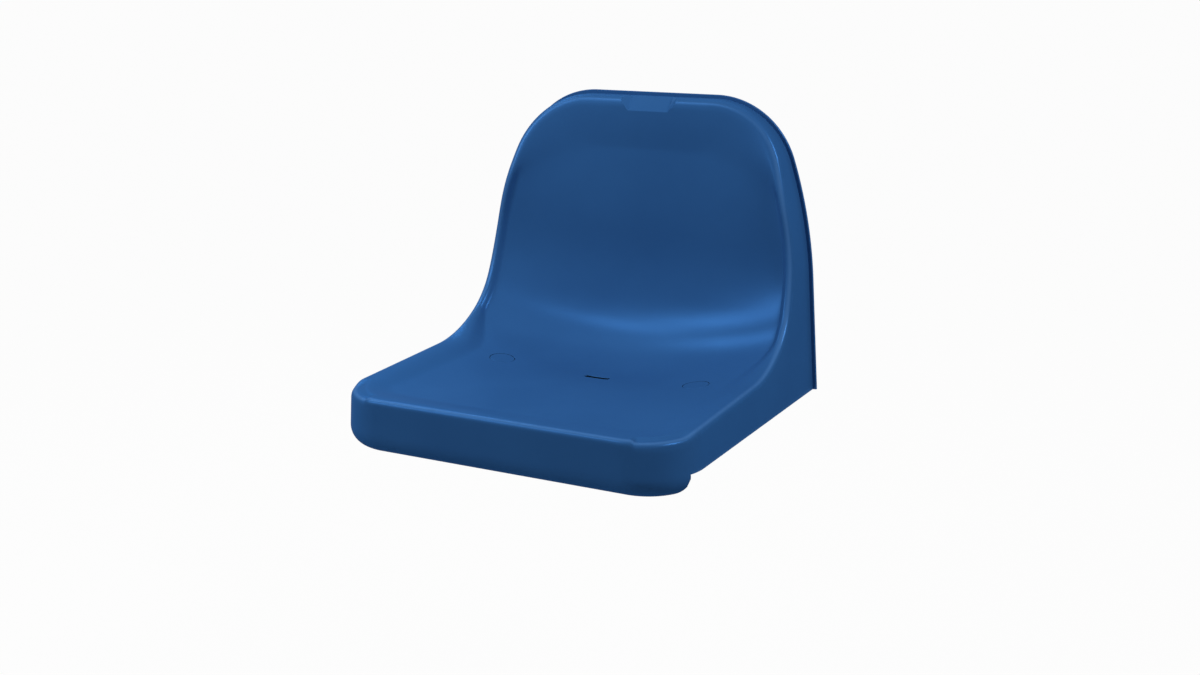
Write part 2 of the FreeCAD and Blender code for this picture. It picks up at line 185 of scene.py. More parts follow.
@dataclass(frozen=True)
class SeatForm:
    """The sizes that the shell shares with its solids."""

    foot_half_width: float = 0.2165
    side_lean_deg: float = 4.0
    shoulder_start: float = 0.137
    shoulder_radius: float = 0.556
    crown_radius: float = 0.102
    back_height: float = 0.347
    front_reach: float = 0.239
    rear_reach: float = 0.162
    plan_corner_radius: float = 0.066
    fascia_drop: float = 0.0245
    fascia_roll_radius: float = 0.024
    fascia_lip_inset: float = 0.016
    fascia_return: float = 0.043
    fascia_end_radius: float = 0.020
    wall: float = 0.004
    bead_width: float = 0.009
    bead_height: float = 0.0034
    flange_width: float = 0.0045
    flange_thickness: float = 0.0036
    lead: float = 0.030
    hub_y: float = 0.0
    hub_z: float = 0.150
    section_counts: tuple[int, int, int] = (4, 5, 5)
    rim: SideLine = SideLine(0.040, 2.2, 0.219, ((0.150, 35), (0.095, 68), (0.220, 88)),
                             0.024, 0.200, 12.0)
    middle: SideLine = SideLine(0.0364, -2.5, 0.255, ((0.130, 25), (0.070, 70), (0.260, 88)),
                                0.060, 0.400, 4.6)

    @property
    def half_dish(self) -> float:
        """Half width of the dish between the beads."""
        return self.foot_half_width - self.bead_width

    def traces(self) -> tuple[Trace, Trace]:
        """The rim line and the middle line, sampled past both ends."""
        reach = self.back_height
        return (self.rim.trace(-self.front_reach, self.lead, reach),
                self.middle.trace(-self.front_reach, self.lead, reach))

    def fan(self, y: np.ndarray, z: np.ndarray) -> np.ndarray:
        """Places side-view points along the fan of rays that pairs the two lines.

        Args:
            y: Y of the points.
            z: Z of the points.

        Returns:
            Their places: below 0 over the pan, from 0 to 1 round the bend, then up the back.
        """
        turn = np.arctan2(z - self.hub_z, y - self.hub_y) / (math.pi / 2) + 1
        span = self.hub_z
        pan = (y - self.hub_y) / span
        back = 1 + (z - self.hub_z) / span
        return np.where(y < self.hub_y, pan, np.where(z > self.hub_z, back, turn))

    def sections(self) -> np.ndarray:
        """Places the sections that the dish is drawn through.

        Returns:
            Their places along the fan: over the pan, round the bend, then up the back.
        """
        pan, bend, back = self.section_counts
        front = -(self.front_reach + self.lead / 2) / self.hub_z
        climb = (self.back_height + self.lead / 2) / self.hub_z - 1
        return np.concatenate([np.linspace(front, 0, pan, endpoint=False),
                               np.linspace(0, 1, bend, endpoint=False),
                               1 + np.linspace(0, climb, back)])

    def crown(self) -> tuple[float, float, float]:
        """Places the arc of the crown.

        Returns:
            X and Z of its centre, and the angle at which it starts.
        """
        centre_x, centre_z = self.shoulder_centre()
        z = self.back_height - self.crown_radius
        gap = self.shoulder_radius - self.crown_radius
        x = centre_x + math.sqrt(gap ** 2 - (z - centre_z) ** 2)
        return x, z, math.atan2(z - centre_z, x - centre_x)

    def shoulder_centre(self) -> tuple[float, float]:
        """Places the large arc of the side.

        Returns:
            X and Z of its centre.
        """
        lean = math.radians(self.side_lean_deg)
        x = self.foot_half_width - self.shoulder_start * math.tan(lean)
        return (x - self.shoulder_radius * math.cos(lean),
                self.shoulder_start - self.shoulder_radius * math.sin(lean))

    def arch(self, z: np.ndarray) -> tuple[np.ndarray, np.ndarray]:
        """Follows the seat's outline, seen from the front.

        Args:
            z: heights.

        Returns:
            The half width at each height, and the angle of its outward normal.
        """
        lean = math.radians(self.side_lean_deg)
        centre_x, centre_z = self.shoulder_centre()
        crown_x, crown_z, crown_start = self.crown()
        straight = self.foot_half_width - z * math.tan(lean)
        share = np.clip((z - centre_z) / self.shoulder_radius, -1, 1)
        crown_share = np.clip((z - crown_z) / self.crown_radius, -1, 1)
        shoulder = centre_x + self.shoulder_radius * np.sqrt(1 - share ** 2)
        crown = crown_x + self.crown_radius * np.sqrt(1 - crown_share ** 2)
        turn = crown_z + self.crown_radius * math.sin(crown_start)
        width = np.where(z < self.shoulder_start, straight, np.where(z < turn, shoulder, crown))
        angle = np.where(z < self.shoulder_start, lean,
                         np.where(z < turn, np.arcsin(share), np.arcsin(crown_share)))
        return width, angle

    @property
    def corner_y(self) -> float:
        """Y of the middle of the front corners' arcs, seen from above."""
        return -self.front_reach + self.plan_corner_radius

    @property
    def fascia_end(self) -> float:
        """Y of the step where the fascia ends and the level skirt begins."""
        return -self.front_reach + self.fascia_return

    def fascia_bottom(self, y: np.ndarray) -> np.ndarray:
        """Follows the lower edge: the fascia, its rounded end, then the level skirt.

        Args:
            y: Y of places along the edge.

        Returns:
            Its height at each place.
        """
        radius = self.fascia_end_radius
        into = np.clip(y - self.fascia_end + radius, 0, radius)
        rise = radius - np.sqrt(radius ** 2 - into ** 2)
        return np.where(y < self.fascia_end - HAIR, rise - self.fascia_drop, 0)

    def rolled(self, bottom: np.ndarray, inset: float) -> np.ndarray:
        """How far round the fascia's roll turns before it meets its lower edge.

        Args:
            bottom: height of the lower edge.
            inset: 0 for the outer side, or the wall thickness for the inner side.

        Returns:
            The angle turned, in radians.
        """
        radius = self.fascia_roll_radius - inset
        start = self.fascia_roll_radius - self.fascia_drop
        most = math.acos(1 - (self.fascia_lip_inset - inset) / radius)
        return np.minimum(np.arcsin(np.clip((start - bottom) / radius, 0, 1)), most)


class Dish:
    """The dished surface: a shallow parabola across, smooth curves along."""

    SAMPLES = 2400

    def __init__(self, form: SeatForm, offset: float) -> None:
        """Draws the surface.

        Args:
            form: the seat's sizes.
            offset: how far the surface is moved into the material.
        """
        rim, middle = form.traces()
        places = form.sections()
        rows = []
        for trace in (rim.moved(form.bead_height + offset), middle.moved(offset)):
            fan = form.fan(trace.y, trace.z)
            rows.append(np.stack([np.interp(places, fan, trace.y),
                                  np.interp(places, fan, trace.z)], 1))
        edge, low = rows
        far = low + (edge - low) * ((form.foot_half_width + form.lead) / form.half_dish) ** 2
        steps = np.linalg.norm(np.diff(far, axis=0), axis=1) + np.linalg.norm(
            np.diff(2 * low - far, axis=0), axis=1)
        knots = np.concatenate([[0], np.cumsum(steps)])
        self.form = form
        self.place = np.linspace(0, knots[-1], self.SAMPLES)
        self.edge = smooth_through(knots, edge, self.place)
        self.low = smooth_through(knots, low, self.place)
        self.rise = (self.edge - self.low) / form.half_dish ** 2
        self.rim_fan = form.fan(self.edge[:, 0], self.edge[:, 1])

    def beside(self, y: np.ndarray, z: np.ndarray) -> np.ndarray:
        """Places along the surface whose edge is level with side-view points of the rim."""
        return np.interp(self.form.fan(y, z), self.rim_fan, self.place)

    def at(self, x: np.ndarray, place: np.ndarray) -> np.ndarray:
        """Finds points of the surface.

        Args:
            x: X of each point.
            place: the place of each point along the surface.

        Returns:
            The points.
        """
        x, place = np.broadcast_arrays(x, place)
        columns = [np.interp(place, self.place, self.low[:, i])
                   + np.interp(place, self.place, self.rise[:, i]) * x ** 2 for i in (0, 1)]
        return np.stack([x, *columns], -1)

    def meet(self, x: np.ndarray, levels: float | np.ndarray, level: Level) -> np.ndarray:
        """Finds the points of the surface that lie at some levels.

        Args:
            x: X of each point.
            levels: the level of each point, or one for all.
            level: what the levels are measured along.

        Returns:
            The points.
        """
        low, rise = self.low[:, level.value], self.rise[:, level.value]
        places = [np.interp(one_level, low + rise * one_x ** 2, self.place)
                  for one_x, one_level in zip(x, np.broadcast_to(levels, x.shape))]
        return self.at(x, np.array(places))

    def at_plan(self, plan: np.ndarray) -> np.ndarray:
        """Points of the surface above rows of X and Y on the mounting plane."""
        return self.meet(plan[:, 0], plan[:, 1], Level.DEPTH)


class Weave:
    """Collects points and the quads between them."""

    def __init__(self) -> None:
        """Starts with no points."""
        self.points: Rings = []
        self.quads: Rings = []
        self.layers: dict[Layer, Rings] = {layer: [] for layer in Layer}
        self.count = 0

    def add(self, points: np.ndarray, painted_highlight: float | np.ndarray = 0.0,
            give: float | np.ndarray = 0.0) -> np.ndarray:
        """Adds points.

        Args:
            points: the points, in any arrangement.
            painted_highlight: how much painted crest highlight each of them carries, from 0 to 1.
            give: how much of the last smoothing each of them takes, from 0 to 1.

        Returns:
            Their numbers, in the same arrangement.
        """
        shape = points.shape[:-1]
        numbers = np.arange(self.count, self.count + math.prod(shape))
        self.points.append(points.reshape(-1, 3))
        for layer, share in ((Layer.CREST_HIGHLIGHT, painted_highlight), (Layer.GIVE, give)):
            self.layers[layer].append(np.broadcast_to(share, shape).ravel())
        self.count += len(numbers)
        return numbers.reshape(shape)

    def fill(self, rows: np.ndarray, closed: bool = False, keep: np.ndarray | None = None) -> None:
        """Adds the quads between neighbouring rows of numbers.

        Args:
            rows: point numbers, one row after another.
            closed: whether each row runs round and meets its own start.
            keep: which quads to add, or none for all of them.
        """
        if closed:
            rows = np.concatenate([rows, rows[:, :1]], 1)
        quads = np.stack([rows[:-1, :-1], rows[:-1, 1:], rows[1:, 1:], rows[1:, :-1]], -1)
        self.quads.append(quads.reshape(-1, 4) if keep is None else quads[keep])

    def bar(self, rows: np.ndarray) -> None:
        """Adds a closed bar.

        Args:
            rows: its sections, each an even number of points that run out and back.
        """
        numbers = self.add(rows)
        self.fill(numbers, closed=True)
        half = numbers.shape[1] // 2
        for section, step in ((numbers[0], 1), (numbers[-1], -1)):
            there, back = section[:half], section[:half - 1:-1]
            self.fill(np.stack([there, back][::step]))

    def mesh(self, name: str, sharp_deg: float) -> bpy.types.Mesh:
        """Makes a clean mesh with smooth faces and sharp edges.

        Args:
            name: name of the mesh.
            sharp_deg: faces that meet at more than this angle keep a sharp edge.

        Returns:
            The mesh, with doubled points merged and its faces turned outwards.
        """
        mesh = bpy.data.meshes.new(name)
        mesh.from_pydata(np.concatenate(self.points).tolist(), [],
                         np.concatenate(self.quads).tolist())
        for layer, shares in self.layers.items():
            data = mesh.attributes.new(layer.value, "FLOAT", "POINT").data
            data.foreach_set("value", np.concatenate(shares))
        tidy = bmesh.new()
        tidy.from_mesh(mesh)
        bmesh.ops.remove_doubles(tidy, verts=tidy.verts, dist=MERGE_DISTANCE)
        bmesh.ops.delete(tidy, geom=[vert for vert in tidy.verts if not vert.link_faces])
        bmesh.ops.recalc_face_normals(tidy, faces=tidy.faces)
        tidy.to_mesh(mesh)
        tidy.free()
        shade(mesh, sharp_deg)
        return mesh


def shade(mesh: bpy.types.Mesh, sharp_deg: float) -> None:
    """Shades a mesh smooth, apart from edges at more than an angle."""
    mesh.shade_smooth()
    mesh.set_sharp_from_angle(angle=math.radians(sharp_deg))


def soften(mesh: bpy.types.Mesh, passes: int) -> None:
    """Evens out the points that give between those that don't.

    Args:
        mesh: the mesh, with the share that each point gives.
        passes: how often each point moves half way to the middle of its neighbours.
    """
    points = np.empty(len(mesh.vertices) * 3)
    edges = np.empty(len(mesh.edges) * 2, int)
    give = np.empty(len(mesh.vertices))
    mesh.vertices.foreach_get("co", points)
    mesh.edges.foreach_get("vertices", edges)
    mesh.attributes[Layer.GIVE.value].data.foreach_get("value", give)
    points, edges = points.reshape(-1, 3), edges.reshape(-1, 2)
    edges = edges[(give[edges] > 0).any(1)]
    ends, others = np.concatenate([edges, edges[:, ::-1]]).T
    count = np.maximum(np.bincount(ends, minlength=len(points)), 1)
    for _ in range(passes):
        middle = np.stack([np.bincount(ends, points[others, axis], len(points))
                           for axis in range(3)], -1)
        points += (middle / count[:, None] - points) * give[:, None] / 2
    mesh.vertices.foreach_set("co", points.ravel())
    mesh.update()


def curve_between(start: np.ndarray, corner: np.ndarray, end: np.ndarray, steps: int) -> Rings:
    """Rounds a corner.

    Args:
        start: the row of points before the corner.
        corner: the row of points on the corner.
        end: the row of points past the corner.
        steps: how many steps lead from start to end.

    Returns:
        The rows between start and end, without those two.
    """
    rows = []
    for i in range(1, steps):
        share = i / steps
        rows.append(start * (1 - share) ** 2 + corner * 2 * share * (1 - share) + end * share ** 2)
    return rows


def joined(name: str, meshes: list[bpy.types.Mesh]) -> bpy.types.Mesh:
    """Joins meshes.

    Args:
        name: name of the joined mesh.
        meshes: the meshes.

    Returns:
        One mesh with the faces of all of them.
    """
    whole = bmesh.new()
    for mesh in meshes:
        whole.from_mesh(mesh)
    result = bpy.data.meshes.new(name)
    whole.to_mesh(result)
    whole.free()
    return result


def show(name: str, data: bpy.types.ID, material: bpy.types.Material | None = None
         ) -> bpy.types.Object:
    """Adds an object to the scene.

    Args:
        name: its name.
        data: the mesh, lamp or camera that it shows.
        material: what a mesh is made of, or none.

    Returns:
        The object.
    """
    item = bpy.data.objects.new(name, data)
    if material:
        data.materials.append(material)
    bpy.context.scene.collection.objects.link(item)
    return item


def declare(item: bpy.types.Object, body: str, node: str) -> None:
    """Puts a piece on its body and hides the CAD node that it stands for.

    Args:
        item: the piece.
        body: the body that it rides on.
        node: the CAD node that it stands for.
    """
    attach(item, body)
    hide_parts(node)
    log.info("%s: %d faces", item.name, len(item.data.polygons))


@dataclass(frozen=True)
class Stadium:
    """A round or long hole seen from above."""

    x: float
    y: float
    radius: float
    half_length: float = 0.0

    def outline(self, counts: tuple[int, int], grow: float = 0.0) -> np.ndarray:
        """Points round the hole, counter-clockwise from its lower left.

        Args:
            counts: how many points lie on the long sides and on the ends.
            grow: how much larger the outline is than the hole.

        Returns:
            One row of X and Y for each point.
        """
        radius = self.radius + grow
        quarter = radius * math.pi / 4
        straight = 2 * self.half_length
        along = np.linspace(0, 2 * quarter + straight, counts[0], endpoint=False)
        turn = math.pi * 1.25 + np.minimum(along, quarter) / radius
        turn += np.maximum(along - quarter - straight, 0) / radius
        shift = np.clip(along - quarter, 0, straight) - self.half_length
        end_turn = np.linspace(-math.pi / 4, math.pi / 4, counts[1], endpoint=False)
        low = np.stack([shift + radius * np.cos(turn), radius * np.sin(turn)], 1)
        right = np.stack([self.half_length + radius * np.cos(end_turn),
                          radius * np.sin(end_turn)], 1)
        half = np.concatenate([low, right])
        return np.concatenate([half, -half]) + (self.x, self.y)


def border(grid: np.ndarray, first: int, last: int, left: int, right: int) -> np.ndarray:
    """The rim of a block of a grid, counter-clockwise from its lower left."""
    return np.concatenate([grid[first, left:right], grid[first:last, right],
                           grid[last, right:left:-1], grid[last:first:-1, left]])


def patch(dish: Dish, start: np.ndarray, plan: np.ndarray, steps: int = 5,
          crowding: float = 1.3) -> Rings:
    """Leads from the border of a block to a hole's edge, on a dished surface.

    Args:
        dish: the surface.
        start: the points of the border.
        plan: X and Y of the hole's edge.
        steps: how many rows there are.
        crowding: how far the rows crowd towards the edge; 1 spaces them evenly.

    Returns:
        The rows of points, without the border.
    """
    rows = []
    for i in range(1, steps + 1):
        share = 1 - (1 - i / steps) ** crowding
        rows.append(dish.at_plan(start[:, :2] + (plan - start[:, :2]) * share))
    return rows


class Hole:
    """A hole with a rounded edge, down through the shell, and walls near its mouth painted dark as
    shade.
    """

    mouth: Stadium
    foot: Stadium
    round: float
    margin: float
    # How far in and out from the mouth's edge the walls are painted dark as shade.
    shade_band: tuple[float, float]

    def inside(self, shell: "SeatShell", counts: tuple[int, int]) -> Rings:
        """Rows of points between the rounded edge and the hidden surface: none in a plain hole."""
        return []

    def rows(self, shell: "SeatShell", counts: tuple[int, int], start: np.ndarray,
             end: np.ndarray) -> Rings:
        """Leads from the seat's surface, through the hole, to the hidden surface.

        Args:
            shell: the shell that the hole is in.
            counts: how many points lie along the front and along the sides of the hole's patch.
            start: the points round the patch, on the seat's surface.
            end: the same on the hidden surface.

        Returns:
            The rows of points, from the top down.
        """
        rows = patch(shell.top, start, self.mouth.outline(counts, self.round))
        for turn in ROUND_TURNS:
            row = shell.top.at_plan(self.mouth.outline(counts, self.round * (1 - math.sin(turn))))
            row[:, 2] -= self.round * (1 - math.cos(turn))
            rows.append(row)
        foot = self.foot.outline(counts)
        return [*rows, *self.inside(shell, counts), shell.under.at_plan(foot),
                *reversed(patch(shell.under, end, foot)[:-1])]


@dataclass(frozen=True)
class DrainSlot(Hole):
    """The long slot that lets rainwater out of the pan."""

    mouth: Stadium = Stadium(0.0, 0.003, 0.004, 0.0125)
    round: float = 0.0008
    margin: float = 0.006
    shade_band: tuple[float, float] = (-0.002, 0.00001)

    @property
    def foot(self) -> Stadium:
        """The slot's lower edge, straight under its mouth."""
        return self.mouth


@dataclass(frozen=True)
class FixingWell(Hole):
    """A capped well that a fixing bolt stands in."""

    x: float
    seat_radius: float = 0.0153
    seat_depth: float = 0.0029
    radius: float = 0.0130
    outer_radius: float = 0.0166
    floor: float = 0.0080
    hole_radius: float = 0.0055
    round: float = 0.0006
    margin: float = 0.0075
    shade_band: tuple[float, float] = (-0.002, 0.0003)

    @property
    def mouth(self) -> Stadium:
        """The round mouth that the cap lies in."""
        return Stadium(self.x, 0.0, self.seat_radius)

    @property
    def foot(self) -> Stadium:
        """The well's outer wall."""
        return Stadium(self.x, 0.0, self.outer_radius)

    def inside(self, shell: "SeatShell", counts: tuple[int, int]) -> Rings:
        """Leads down the well, through its floor and out to its outer wall.

        Args:
            shell: the shell that the well is in.
            counts: how many points lie along the front and along the sides of its patch.

        Returns:
            The rows of points, from the cap's seat to the mounting plane.
        """
        def ring(radius: float, height: float) -> np.ndarray:
            """A ring of points at a height."""
            plan = Stadium(self.x, 0.0, radius).outline(counts)
            return np.column_stack([plan, np.full(len(plan), height)])

        seat = [shell.cap_plane(self.x, Stadium(self.x, 0.0, radius).outline(counts),
                                self.seat_depth) for radius in (self.seat_radius, self.radius)]
        return [*seat, ring(self.radius, self.floor), ring(self.hole_radius, self.floor),
                ring(self.hole_radius, 0.0), ring(self.outer_radius, 0.0)]


@dataclass(frozen=True)
class NumberRecess:
    """The bare recess at the top of the back: a flat leaning floor between two sloping ends."""

    half_width: float = 0.027
    mouth_half_width: float = 0.0465
    mouth_depth: float = 0.012
    foot_height: float = 0.3295
    stand_off: float = 0.0033
    lean_deg: float = 38.0
    reach: float = 0.030
    tool_span: tuple[float, float] = (-0.030, 0.060)

    @property
    def flare(self) -> float:
        """How much the half width grows for each unit of height over the floor."""
        return (self.mouth_half_width - self.half_width) / self.mouth_depth

    def axes(self, dish: Dish) -> tuple[np.ndarray, np.ndarray, np.ndarray]:
        """Finds the recess's own axes.

        Args:
            dish: the seat's surface.

        Returns:
            The foot of the floor, the way up the floor and the way out of it.
        """
        lean = math.radians(self.lean_deg)
        foot = dish.meet(np.zeros(1), self.foot_height, Level.HEIGHT)[0]
        return (foot - (0, self.stand_off, 0), np.array([0, math.sin(lean), math.cos(lean)]),
                np.array([0, -math.cos(lean), math.sin(lean)]))

    def backed(self, points: np.ndarray, dish: Dish, wall: float) -> np.ndarray:
        """Moves hidden points back, so that a wall is left behind the recess.

        Args:
            points: points of the hidden side.
            dish: the seat's surface.
            wall: thickness of the wall.

        Returns:
            The points, moved where they were too near.
        """
        foot, up, out = self.axes(dish)
        over = (points - foot) @ out
        half = self.half_width + wall * (math.hypot(1, self.flare) - self.flare)
        most = np.maximum(abs(points[..., 0]) - half, 0) / self.flare - wall
        behind = (over > most) & ((points - foot) @ up > -wall)
        return points + np.where(behind, most - over, 0)[..., None] * out

    def carve(self, item: bpy.types.Object, dish: Dish, sharp_deg: float) -> None:
        """Cuts the recess out of an object.

        Args:
            item: the object.
            dish: the seat's surface.
            sharp_deg: faces that meet at more than this angle keep a sharp edge.
        """
        foot, up, out = self.axes(dish)
        side = np.array([1, 0, 0])
        high = self.half_width + self.flare * self.reach
        section = [foot - side * self.half_width, foot + side * self.half_width,
                   foot + out * self.reach + side * high, foot + out * self.reach - side * high]
        weave = Weave()
        weave.bar(np.array([np.array(section) + up * along for along in self.tool_span]))
        tool = show("recess_tool", weave.mesh("recess_tool", sharp_deg))
        cut = item.modifiers.new("recess", "BOOLEAN")
        cut.object = tool
        cut.operation = "DIFFERENCE"
        cut.solver = "EXACT"
        view = bpy.context.evaluated_depsgraph_get()
        item.data = bpy.data.meshes.new_from_object(item.evaluated_get(view))
        item.modifiers.clear()
        bpy.data.objects.remove(tool)
        shade(item.data, sharp_deg)


@dataclass(frozen=True)
class Outline:
    """Samples along the right half of the rim, from the lip's middle to the top's middle."""

    run: np.ndarray
    share: np.ndarray
    plan_angle: np.ndarray
    level: np.ndarray
    level_x: np.ndarray
    row: np.ndarray
    column: np.ndarray


@dataclass(frozen=True)
class SheetEdge:
    """Where a dished sheet ends: its place along the dish and its half width at each sample."""

    places: np.ndarray
    half_widths: np.ndarray


class RimPath:
    """The shell's right half beside each sample of the rim."""

    TINY_TURN = 1e-9

    def __init__(self, form: SeatForm, rim: Trace, line: Outline) -> None:
        """Works out where the rim runs and which way it faces.

        Args:
            form: the seat's sizes.
            rim: the side-view line of the rim.
            line: the samples.
        """
        self.form, self.rim, self.line = form, rim, line
        self.on_plan = line.plan_angle < 0
        self.rim_y, self.rim_z, self.slope = rim.at(line.run)
        self.y = np.where(self.on_plan, form.corner_y, self.rim_y)
        self.z = np.where(line.level, form.back_height, self.rim_z)
        self.lean = np.where(line.level, math.pi / 2, form.arch(self.z)[1])
        across = np.where(self.on_plan, np.cos(line.plan_angle), np.cos(self.lean))
        along = np.where(self.on_plan, np.sin(line.plan_angle),
                         np.sin(self.lean) * np.sin(self.slope))
        length = np.hypot(across, along)
        self.across, self.along = across / length, along / length
        self.edge_x = self.skin(self.y, self.z, 0.0)[:, 0]
        self.lay_base()

    def lay_base(self) -> None:
        """Finds the line on which the walls end, and how far it is from the rim."""
        form, line, run = self.form, self.line, self.line.run
        number = np.arange(len(run))
        side_from = np.flatnonzero(~self.on_plan)[0]
        crown_from = np.flatnonzero(self.lean >= form.crown()[2] - self.TINY_TURN)[0]
        doubled = np.flatnonzero(np.diff(run) == 0)
        bend = doubled[(doubled > side_from) & ~line.level[doubled]][0]
        climb = np.clip((run - run[bend]) / (run[crown_from] - run[bend]), 0, 1)
        slide = np.clip((run - run[side_from]) / (run[bend] - run[side_from]), 0, 1)
        flange_y = form.rear_reach - form.flange_thickness
        rolled = form.fascia_roll_radius - form.fascia_drop
        bottom = form.fascia_bottom(self.skin(self.y, self.z, 0.0)[:, 1])
        self.bottom = np.where(self.on_plan, bottom, 0)
        self.rear = number > bend
        self.base_y = np.where(self.on_plan, form.corner_y,
                               form.corner_y + (flange_y - form.corner_y) * slide)
        base_z = np.where(self.on_plan, np.maximum(self.bottom, rolled), 0)
        base_z = np.where(self.rear, climb * self.z[crown_from], base_z)
        self.base_z = np.where(number >= crown_from, self.z, base_z)
        self.distance = np.hypot(self.base_y - self.y, self.base_z - self.z)

    def skin(self, y: np.ndarray, z: np.ndarray, inset: float | np.ndarray) -> np.ndarray:
        """Follows the outer walls.

        Args:
            y: Y of a path up the walls, at each sample.
            z: Z of the path.
            inset: how far inwards from the walls the points lie.

        Returns:
            The points.
        """
        line, radius = self.line, self.form.plan_corner_radius
        width, turn = self.form.arch(z)
        width = np.where(line.level, line.level_x, width)
        turn = np.where(line.level, math.pi / 2, turn)
        reach = radius - inset * np.where(self.on_plan, 1, np.cos(turn))
        x = line.share * (width - radius) + reach * np.cos(line.plan_angle)
        drop = np.where(self.on_plan, 0, inset * np.sin(turn))
        return np.stack([x, y + reach * np.sin(line.plan_angle), z - drop], -1)

    def wall(self, share: np.ndarray, inset: float) -> np.ndarray:
        """Points of the walls, a share of the way from the rim to their base."""
        return self.skin(self.y + (self.base_y - self.y) * share,
                         self.z + (self.base_z - self.z) * share, inset)

    def sheet(self, inset: float | np.ndarray, height: float | np.ndarray) -> np.ndarray:
        """Points at an inset from the rim's outer edge and a height over the rim sheet."""
        y, z, angle = self.rim.at(self.line.run - self.along * inset)
        return np.stack([self.edge_x - self.across * inset, y - np.sin(angle) * height,
                         z + np.cos(angle) * height], -1)

    def surface(self, dish: Dish, inset: float | np.ndarray) -> tuple[np.ndarray, np.ndarray]:
        """Points of a dish at an inset from the rim's outer edge, and their places."""
        points = self.sheet(inset, -self.form.bead_height)
        places = dish.beside(points[:, 1], points[:, 2])
        return dish.at(points[:, 0], places), places


@dataclass
class SeatShell:
    """The one-piece moulded shell: dish, rim bead, skirts, rolled fascia, flange and ribs."""

    form: SeatForm = SeatForm()
    columns: int = 96
    corner_rows: int = 44
    side_rows: int = 156
    crown_rows: int = 44
    bead_rows: int = 18
    shoulder_rows: int = 8
    wall_rows: int = 10
    roll_rows: int = 12
    hidden_roll_rows: int = 8
    hidden_wall_rows: int = 6
    step_gap: float = 1e-4
    bead_foot: float = 0.0150
    soft_foot: float = 0.0480
    crown_foot: float = 0.0620
    foot_slopes_deg: tuple[float, float] = (10.0, 42.0)
    foot_heights: tuple[float, float] = (0.235, 0.335)
    bead_crest: float = 0.0075
    bead_outer_radius: float = 0.0065
    jog_drop: float = 0.0029
    jog_turns_deg: tuple[float, float] = (-77.0, -71.5)
    jog_fade: tuple[float, float] = (-0.202, -0.176)
    jog_width: float = 0.0180
    lift_heights: tuple[float, float] = (0.250, 0.343)
    # Where the painted crest highlight rises and falls across the rings, and how much of it stays
    # over the crown.
    highlight_rows: tuple[float, float, float] = (0, 3, 6)
    crown_highlight: float = 0.45
    # Only walls above this height get the painted shade.
    shade_height: float = 0.020
    give_insets: tuple[float, float] = (0.010, 0.026)
    give_heights: tuple[float, float] = (0.170, 0.230)
    passes: int = 240
    flange_round: float = 0.0006
    hidden_reach: float = 0.0095
    hidden_share: float = 0.8
    sharp_deg: float = 25.0
    cap_radius: float = 0.015
    holes: tuple[Hole, ...] = (FixingWell(-0.130), DrainSlot(), FixingWell(0.130))
    recess: NumberRecess = NumberRecess()

    def __post_init__(self) -> None:
        """Draws the surfaces that the methods share."""
        self.rim, _ = self.form.traces()
        self.top = Dish(self.form, 0.0)
        self.under = Dish(self.form, self.form.wall)

    def cap_plane(self, x: float, plan: np.ndarray, depth: float) -> np.ndarray:
        """Lifts places to the plane that the four sides of a cap share with the dish.

        Args:
            x: where the cap's middle is.
            plan: X and Y of the places.
            depth: how far below that plane the points lie.

        Returns:
            The points.
        """
        radius = self.cap_radius
        west, east, south, north = self.top.at_plan(
            np.array([(x - radius, 0), (x + radius, 0), (x, -radius), (x, radius)]))[:, 2]
        slope_x = (east - west) / (2 * radius)
        slope_y = (north - south) / (2 * radius)
        middle = (west + east + south + north) / 4
        height = middle + slope_x * (plan[:, 0] - x) + slope_y * plan[:, 1]
        return np.column_stack([plan, height - depth * math.hypot(1, slope_x, slope_y)])

    def outline(self) -> Outline:
        """Samples the rim and pairs each sample with a row and a column of the dish.

        Returns:
            The samples.
        """
        form, rim, half = self.form, self.rim, self.columns // 2
        radius = form.plan_corner_radius
        crown_x, crown_z, crown_start = form.crown()
        pan, back = rim.y < 0, rim.z > form.hub_z
        step = math.asin((form.fascia_end - form.corner_y) / radius)
        before = round(self.corner_rows * (1 + step / (math.pi / 2)))
        turn = np.concatenate([np.linspace(-math.pi / 2, step - self.step_gap, before),
                               np.linspace(step, 0, self.corner_rows - before, endpoint=False)])
        corner_run = np.interp(form.corner_y + radius * np.sin(turn), rim.y[pan], rim.run[pan])
        side_start = np.interp(form.corner_y, rim.y[pan], rim.run[pan])
        crown_turn = np.linspace(crown_start, math.pi / 2, self.crown_rows + 1)
        crown_run = np.interp(crown_z + form.crown_radius * np.sin(crown_turn), rim.z[back],
                              rim.run[back])
        below = rim.run < crown_run[0]
        bend = np.interp(math.pi / 4, rim.angle[below], rim.run[below])
        pan_rows = round(self.side_rows * (bend - side_start) / (crown_run[0] - side_start))
        side_run = np.concatenate([np.linspace(side_start, bend, pan_rows + 1),
                                   np.linspace(bend, crown_run[0], self.side_rows - pan_rows,
                                               endpoint=False)])
        sides = len(side_run) + len(crown_run)
        rows = self.corner_rows + sides - 1
        run = np.concatenate([np.zeros(half), corner_run, side_run, crown_run,
                              np.full(half, crown_run[-1])])
        past_lip, below_top = len(run) - half, len(run) - half - 1
        return Outline(
            run, np.concatenate([np.linspace(0, 1, half, endpoint=False), np.ones(past_lip)]),
            np.concatenate([np.full(half, -math.pi / 2), turn, np.zeros(sides + half)]),
            np.arange(len(run)) >= below_top,
            np.concatenate([np.zeros(below_top), crown_x * np.linspace(1, 0, half + 1)]),
            np.concatenate([np.zeros(half, int), np.arange(rows + 1), np.full(half, rows)]),
            np.concatenate([half + np.arange(half), np.full(rows + 1, self.columns),
                            self.columns - 1 - np.arange(half)]))

    def lip_jog(self, path: RimPath) -> np.ndarray:
        """How much lower the bead lies round the front corners, past the small step in the lip."""
        past = ease(path.line.plan_angle, *np.radians(self.jog_turns_deg))
        fade = 1 - ease(path.rim_y, *self.jog_fade)
        return np.where(path.line.level, 0, self.jog_drop * past * fade)

